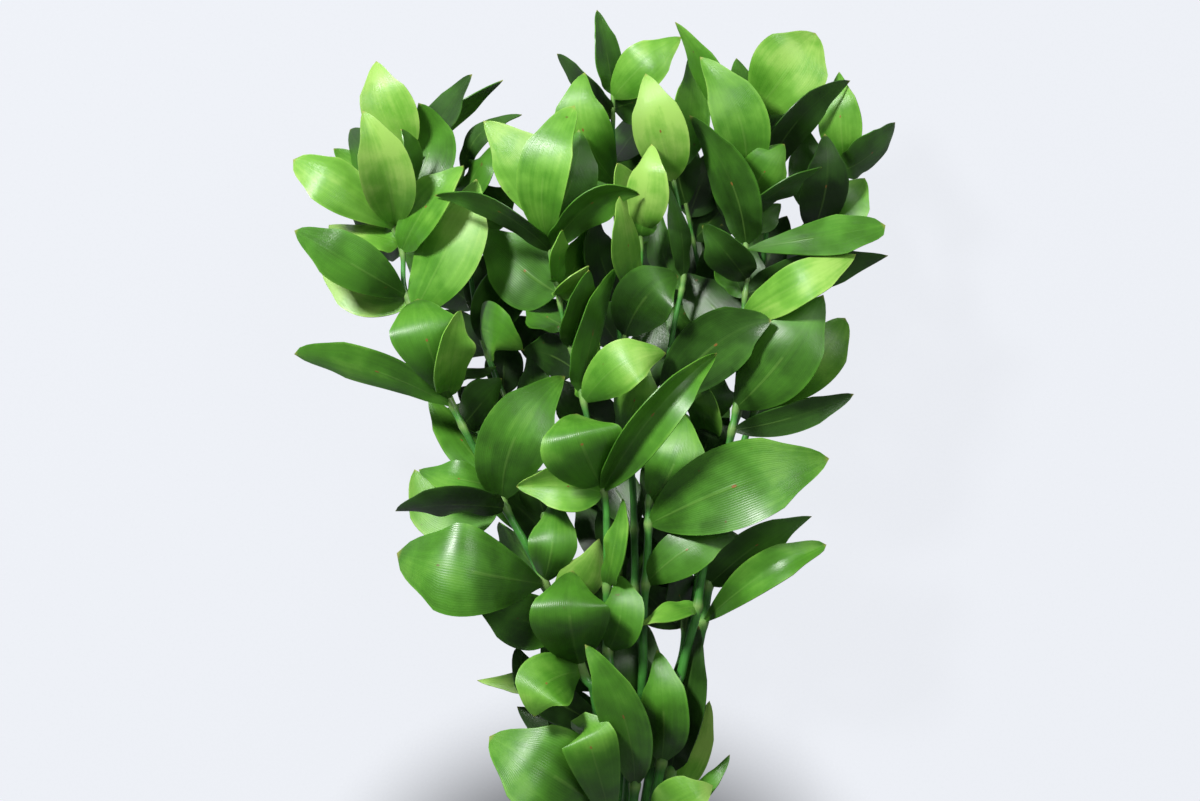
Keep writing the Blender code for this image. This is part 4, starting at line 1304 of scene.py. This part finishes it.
@dataclass
class LeafyStem:
    """A cane and the blades that grow from it."""

    stem: Stem
    blades: list[tuple[Blade, Vector]]
    tie: Tie
    cane_form: CaneForm
    blade_form: BladeForm
    crease_angle: float = 40.0
    cut_reach: float = 0.3
    merge_reach: float = 0.01
    across_odds: tuple[int, int, int] = (4, 2, 3)
    scar_odds: float = 0.45

    def rod(self, nodes: list[float]) -> bpy.types.Object:
        """Models the bare cane: a round curve with swollen nodes, made a mesh.

        Args:
            nodes: The heights along Y that blades grow from.

        Returns:
            The cane.
        """
        name = self.stem.name + "_cane"
        path = smooth(self.tie.route(self.stem), self.cane_form.fine_step)
        curve = bpy.data.curves.new(name, "CURVE")
        curve.dimensions = "3D"
        curve.bevel_depth = MM
        curve.bevel_resolution = self.cane_form.fine_resolution
        curve.use_fill_caps = True
        line = curve.splines.new("POLY")
        line.points.add(len(path) - 1)
        for knot, point, radius in zip(line.points, path, self.cane_form.swollen(path, nodes)):
            knot.co = (*(point * MM), 1.0)
            knot.radius = radius
        piece = bpy.data.objects.new(name, curve)
        bpy.context.scene.collection.objects.link(piece)
        only(piece)
        bpy.ops.object.convert(target="MESH")
        bpy.ops.object.mode_set(mode="EDIT")
        bpy.ops.mesh.select_all(action="SELECT")
        bpy.ops.mesh.remove_doubles(threshold=self.merge_reach * MM)
        bpy.ops.mesh.normals_make_consistent(inside=False)
        bpy.ops.object.mode_set(mode="OBJECT")
        return piece

    def cane(self, skin: Material, cut: Material) -> bpy.types.Object:
        """Models and dresses the cane.

        Args:
            skin: The material of its side.
            cut: The material of its cut end.

        Returns:
            The cane.
        """
        nodes = [foot.y for _, foot in self.blades]
        piece = self.rod(nodes)
        mesh = piece.data
        tints = []
        for vert in mesh.vertices:
            tints += [self.cane_form.nearness(vert.co.y / MM, nodes), 0.0, 0.0, 1.0]
        paint(mesh, tints)
        mesh.materials.append(skin)
        mesh.materials.append(cut)
        for face in mesh.polygons:
            face.material_index = int(face.center.y < (self.stem.cut + self.cut_reach) * MM)
        bpy.ops.object.shade_smooth_by_angle(angle=math.radians(self.crease_angle))
        return piece

    def one_blade(
        self, template: bpy.types.Object, blade: Blade, foot: Vector, draw: random.Random
    ) -> bpy.types.Object:
        """Copies the flat blade and bends the copy to its place.

        Args:
            template: The flat blade, a grid from -1 to 1.
            blade: The blade.
            foot: Where it grows from the cane.
            draw: The source of its own small differences.

        Returns:
            The copy, with its own mesh.
        """
        copy = template.copy()
        copy.data = template.data.copy()
        bpy.context.scene.collection.objects.link(copy)
        across = draw.choices(tuple(Across), weights=self.across_odds)[0]
        phase = draw.uniform(0.0, math.tau)
        seed = draw.random()
        scarred = float(draw.random() < self.scar_odds)
        for vert in copy.data.vertices:
            s = (vert.co.y + 1) / 2
            vert.co = self.blade_form.fine(blade, foot, s, -vert.co.x, across, phase) * MM
        paint(copy.data, [blade.tone, seed, scarred, 1.0] * len(copy.data.vertices))
        return copy

    def foliage(self, template: bpy.types.Object, upper: Material, under: Material) -> bpy.types.Object:
        """Models all of the cane's blades as one piece.

        Args:
            template: The flat blade.
            upper: The material of a blade's face.
            under: The material of its back.

        Returns:
            The blades.
        """
        copies = []
        for index, (blade, foot) in enumerate(self.blades):
            draw = random.Random(f"{self.stem.name} {index}")
            copies.append(self.one_blade(template, blade, foot, draw))
        only(*copies)
        bpy.ops.object.join()
        piece = copies[0]
        piece.name = self.stem.name + "_blades"
        piece.data.name = piece.name
        piece.data.materials.append(upper)
        piece.data.materials.append(under)
        sheet = piece.modifiers.new("thickness", "SOLIDIFY")
        sheet.thickness = self.blade_form.thickness * MM
        sheet.offset = 0.0
        sheet.material_offset = 1
        bpy.ops.object.modifier_apply(modifier=sheet.name)
        bpy.ops.object.shade_smooth_by_angle(angle=math.radians(self.crease_angle))
        return piece


@dataclass
class Bunch:
    """All the canes with their blades, and the band round them."""

    tie: Tie
    cane_form: CaneForm
    blade_form: BladeForm
    settling: Settling

    def template(self) -> bpy.types.Object:
        """A flat blade: a fine grid from -1 to 1, which every blade is a copy of."""
        deselect()
        columns, rows = self.blade_form.fine_columns, self.blade_form.fine_rows
        bpy.ops.mesh.primitive_grid_add(x_subdivisions=columns, y_subdivisions=rows, size=2.0)
        return bpy.context.object

    def stems(self) -> None:
        """Models and dresses every stem."""
        mottle = Mottle().tree()
        upper = BladeFinish("blade_face", roughness=0.36, paler=0.0, mottle=mottle).material()
        under = BladeFinish("blade_back", roughness=0.50, paler=0.06, mottle=mottle).material()
        skin = CaneFinish(mottle).material()
        cut = CutFinish().material()
        paths = [smooth(self.tie.route(stem), self.cane_form.step) for stem in STEMS]
        settled = self.settling.settle(paths, self.cane_form, self.blade_form)
        template = self.template()
        for stem, blades in zip(STEMS, settled):
            leafy = LeafyStem(stem, blades, self.tie, self.cane_form, self.blade_form)
            for piece in (leafy.cane(skin, cut), leafy.foliage(template, upper, under)):
                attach(piece, BODY)
                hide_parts(stem.name)
                log.info("%s: %d faces", piece.name, len(piece.data.polygons))
            log.info("%s has %d blades", stem.name, len(blades))
        bpy.data.objects.remove(template, do_unlink=True)

    def band(self) -> None:
        """Gives the band its rubber."""
        band = frame["nodes"]["tie_band"]
        band.data.materials.clear()
        band.data.materials.append(BandFinish().material())
        log.info("tie_band dressed")

    def build(self) -> None:
        """Builds the stems and dresses the band."""
        self.stems()
        self.band()


@dataclass(frozen=True)
class Floor:
    """A pale floor that shows only faint shadows, with a painted shadow: an oval painted darker under the
    tied ends.
    """

    name: str = "pale_floor"
    side: float = 12.0
    colour: Colour = (0.835, 0.858, 0.908)
    roughness: float = 0.9
    specular: float = 0.0
    bounce: float = 0.3
    evenness: float = 0.965
    # Painted shadow: where the dark oval under the tied ends lies, how far it reaches and how it fades.
    painted_shadow_centre: tuple[float, float] = (2.8, -182.0)
    painted_shadow_reach: tuple[float, float] = (171.0, 137.0)
    painted_shadow_fade: tuple[float, ...] = (0.42, 1.0, 0.17, 1.0)
    grain_scale: float = 700.0
    grain_depth: float = 0.05

    def shown(self, graph: Graph) -> Socket:
        """The floor's colour as the camera sees it, with its painted shadow oval and a fine grain.

        Args:
            graph: The material's graph.

        Returns:
            The colour.
        """
        # Painted shadow: the floor's colour is darkened in an oval under the tied ends, most at its centre.
        squares = []
        for part, centre, reach in zip(graph.parts(graph.place()), self.painted_shadow_centre, self.painted_shadow_reach):
            offset = graph.math("MULTIPLY_ADD", part, 1 / (reach * MM), -centre / reach)
            squares.append(graph.math("MULTIPLY", offset, offset))
        distance = graph.math("SQRT", graph.math("ADD", *squares))
        grain = graph.sway(graph.noise(self.grain_scale), self.grain_depth, 1.0)
        level = graph.math("MULTIPLY", graph.spread(distance, *self.painted_shadow_fade), grain)
        return graph.mix(level, (0.0, 0.0, 0.0), self.colour)

    def material(self) -> Material:
        """Builds the material."""
        material, graph, shader = principled(self.name, self.specular)
        colour = self.shown(graph)
        graph.fill(shader, base_color=colour, roughness=self.roughness)
        even = graph.node("ShaderNodeEmission", colour)
        seen = graph.blend(self.evenness, shader.outputs[0], even.outputs[0])
        bounced = tuple(self.bounce * value for value in self.colour)
        bounce = graph.node("ShaderNodeBsdfDiffuse", bounced)
        graph.show(graph.blend(graph.seen(), bounce.outputs[0], seen))
        return material

    def build(self) -> None:
        """Lays the floor."""
        deselect()
        bpy.ops.mesh.primitive_plane_add(size=self.side)
        floor = bpy.context.object
        floor.name = "floor"
        floor.data.materials.append(self.material())


@dataclass(frozen=True)
class Lamp:
    """A square light that shines at the middle of the foliage, with its place, side and aim in metres."""

    name: str
    place: Place
    side: float
    power: float
    aim: Place = (0.0, 0.08, 0.08)

    def build(self) -> None:
        """Adds the light."""
        data = bpy.data.lights.new(self.name, "AREA")
        data.size = self.side
        data.energy = self.power
        light = bpy.data.objects.new(self.name, data)
        light.location = self.place
        way = Vector(self.aim) - light.location
        light.rotation_euler = way.to_track_quat("-Z", "Y").to_euler()
        bpy.context.scene.collection.objects.link(light)


@dataclass
class Studio:
    """The floor, a fairly small key light from the upper left, a broad fill from the right, and a camera."""

    floor: Floor = Floor()
    key: Lamp = Lamp("key", (-0.95, 1.05, 1.55), side=0.28, power=68.0)
    fill: Lamp = Lamp("fill", (0.9, 0.9, 1.9), side=1.0, power=20.0)
    sky_strength: float = 0.2
    camera_place: Place = (2.5, 94.75, 2480.0)
    camera_sight: float = 50.0
    lens: float = 144.0

    def sky(self) -> None:
        """Adds an even sky, which the camera sees brighter than it lights the scene."""
        world = bpy.data.worlds.new("studio")
        world.use_nodes = True
        graph = Graph(world.node_tree)
        sky = world.node_tree.nodes["Background"]
        graph.fill(sky, color=self.floor.colour, strength=self.sky_strength)
        seen = graph.node("ShaderNodeBackground", self.floor.colour)
        graph.show(graph.blend(graph.seen(), sky.outputs[0], seen.outputs[0]))
        bpy.context.scene.world = world

    def camera(self) -> None:
        """Looks straight down at the bunch from far above it."""
        data = bpy.data.cameras.new("camera")
        data.lens = self.lens
        data.clip_end = self.camera_sight
        camera = bpy.data.objects.new("camera", data)
        camera.location = Vector(self.camera_place) * MM
        bpy.context.scene.collection.objects.link(camera)
        bpy.context.scene.camera = camera

    def build(self) -> None:
        """Sets up the whole studio."""
        self.floor.build()
        self.key.build()
        self.fill.build()
        self.sky()
        self.camera()
        bpy.context.scene.view_settings.view_transform = "Standard"
        log.info("studio ready")


def main() -> None:
    """Builds the bunch in its studio, and notes how many faces each piece has and how many blades each stem
    has.
    """
    logging.basicConfig(level=logging.INFO, format="%(name)s: %(message)s")
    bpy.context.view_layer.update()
    Studio().build()
    Bunch(Tie(), CaneForm(), BladeForm(), Settling()).build()


if __name__ == "__main__":
    main()
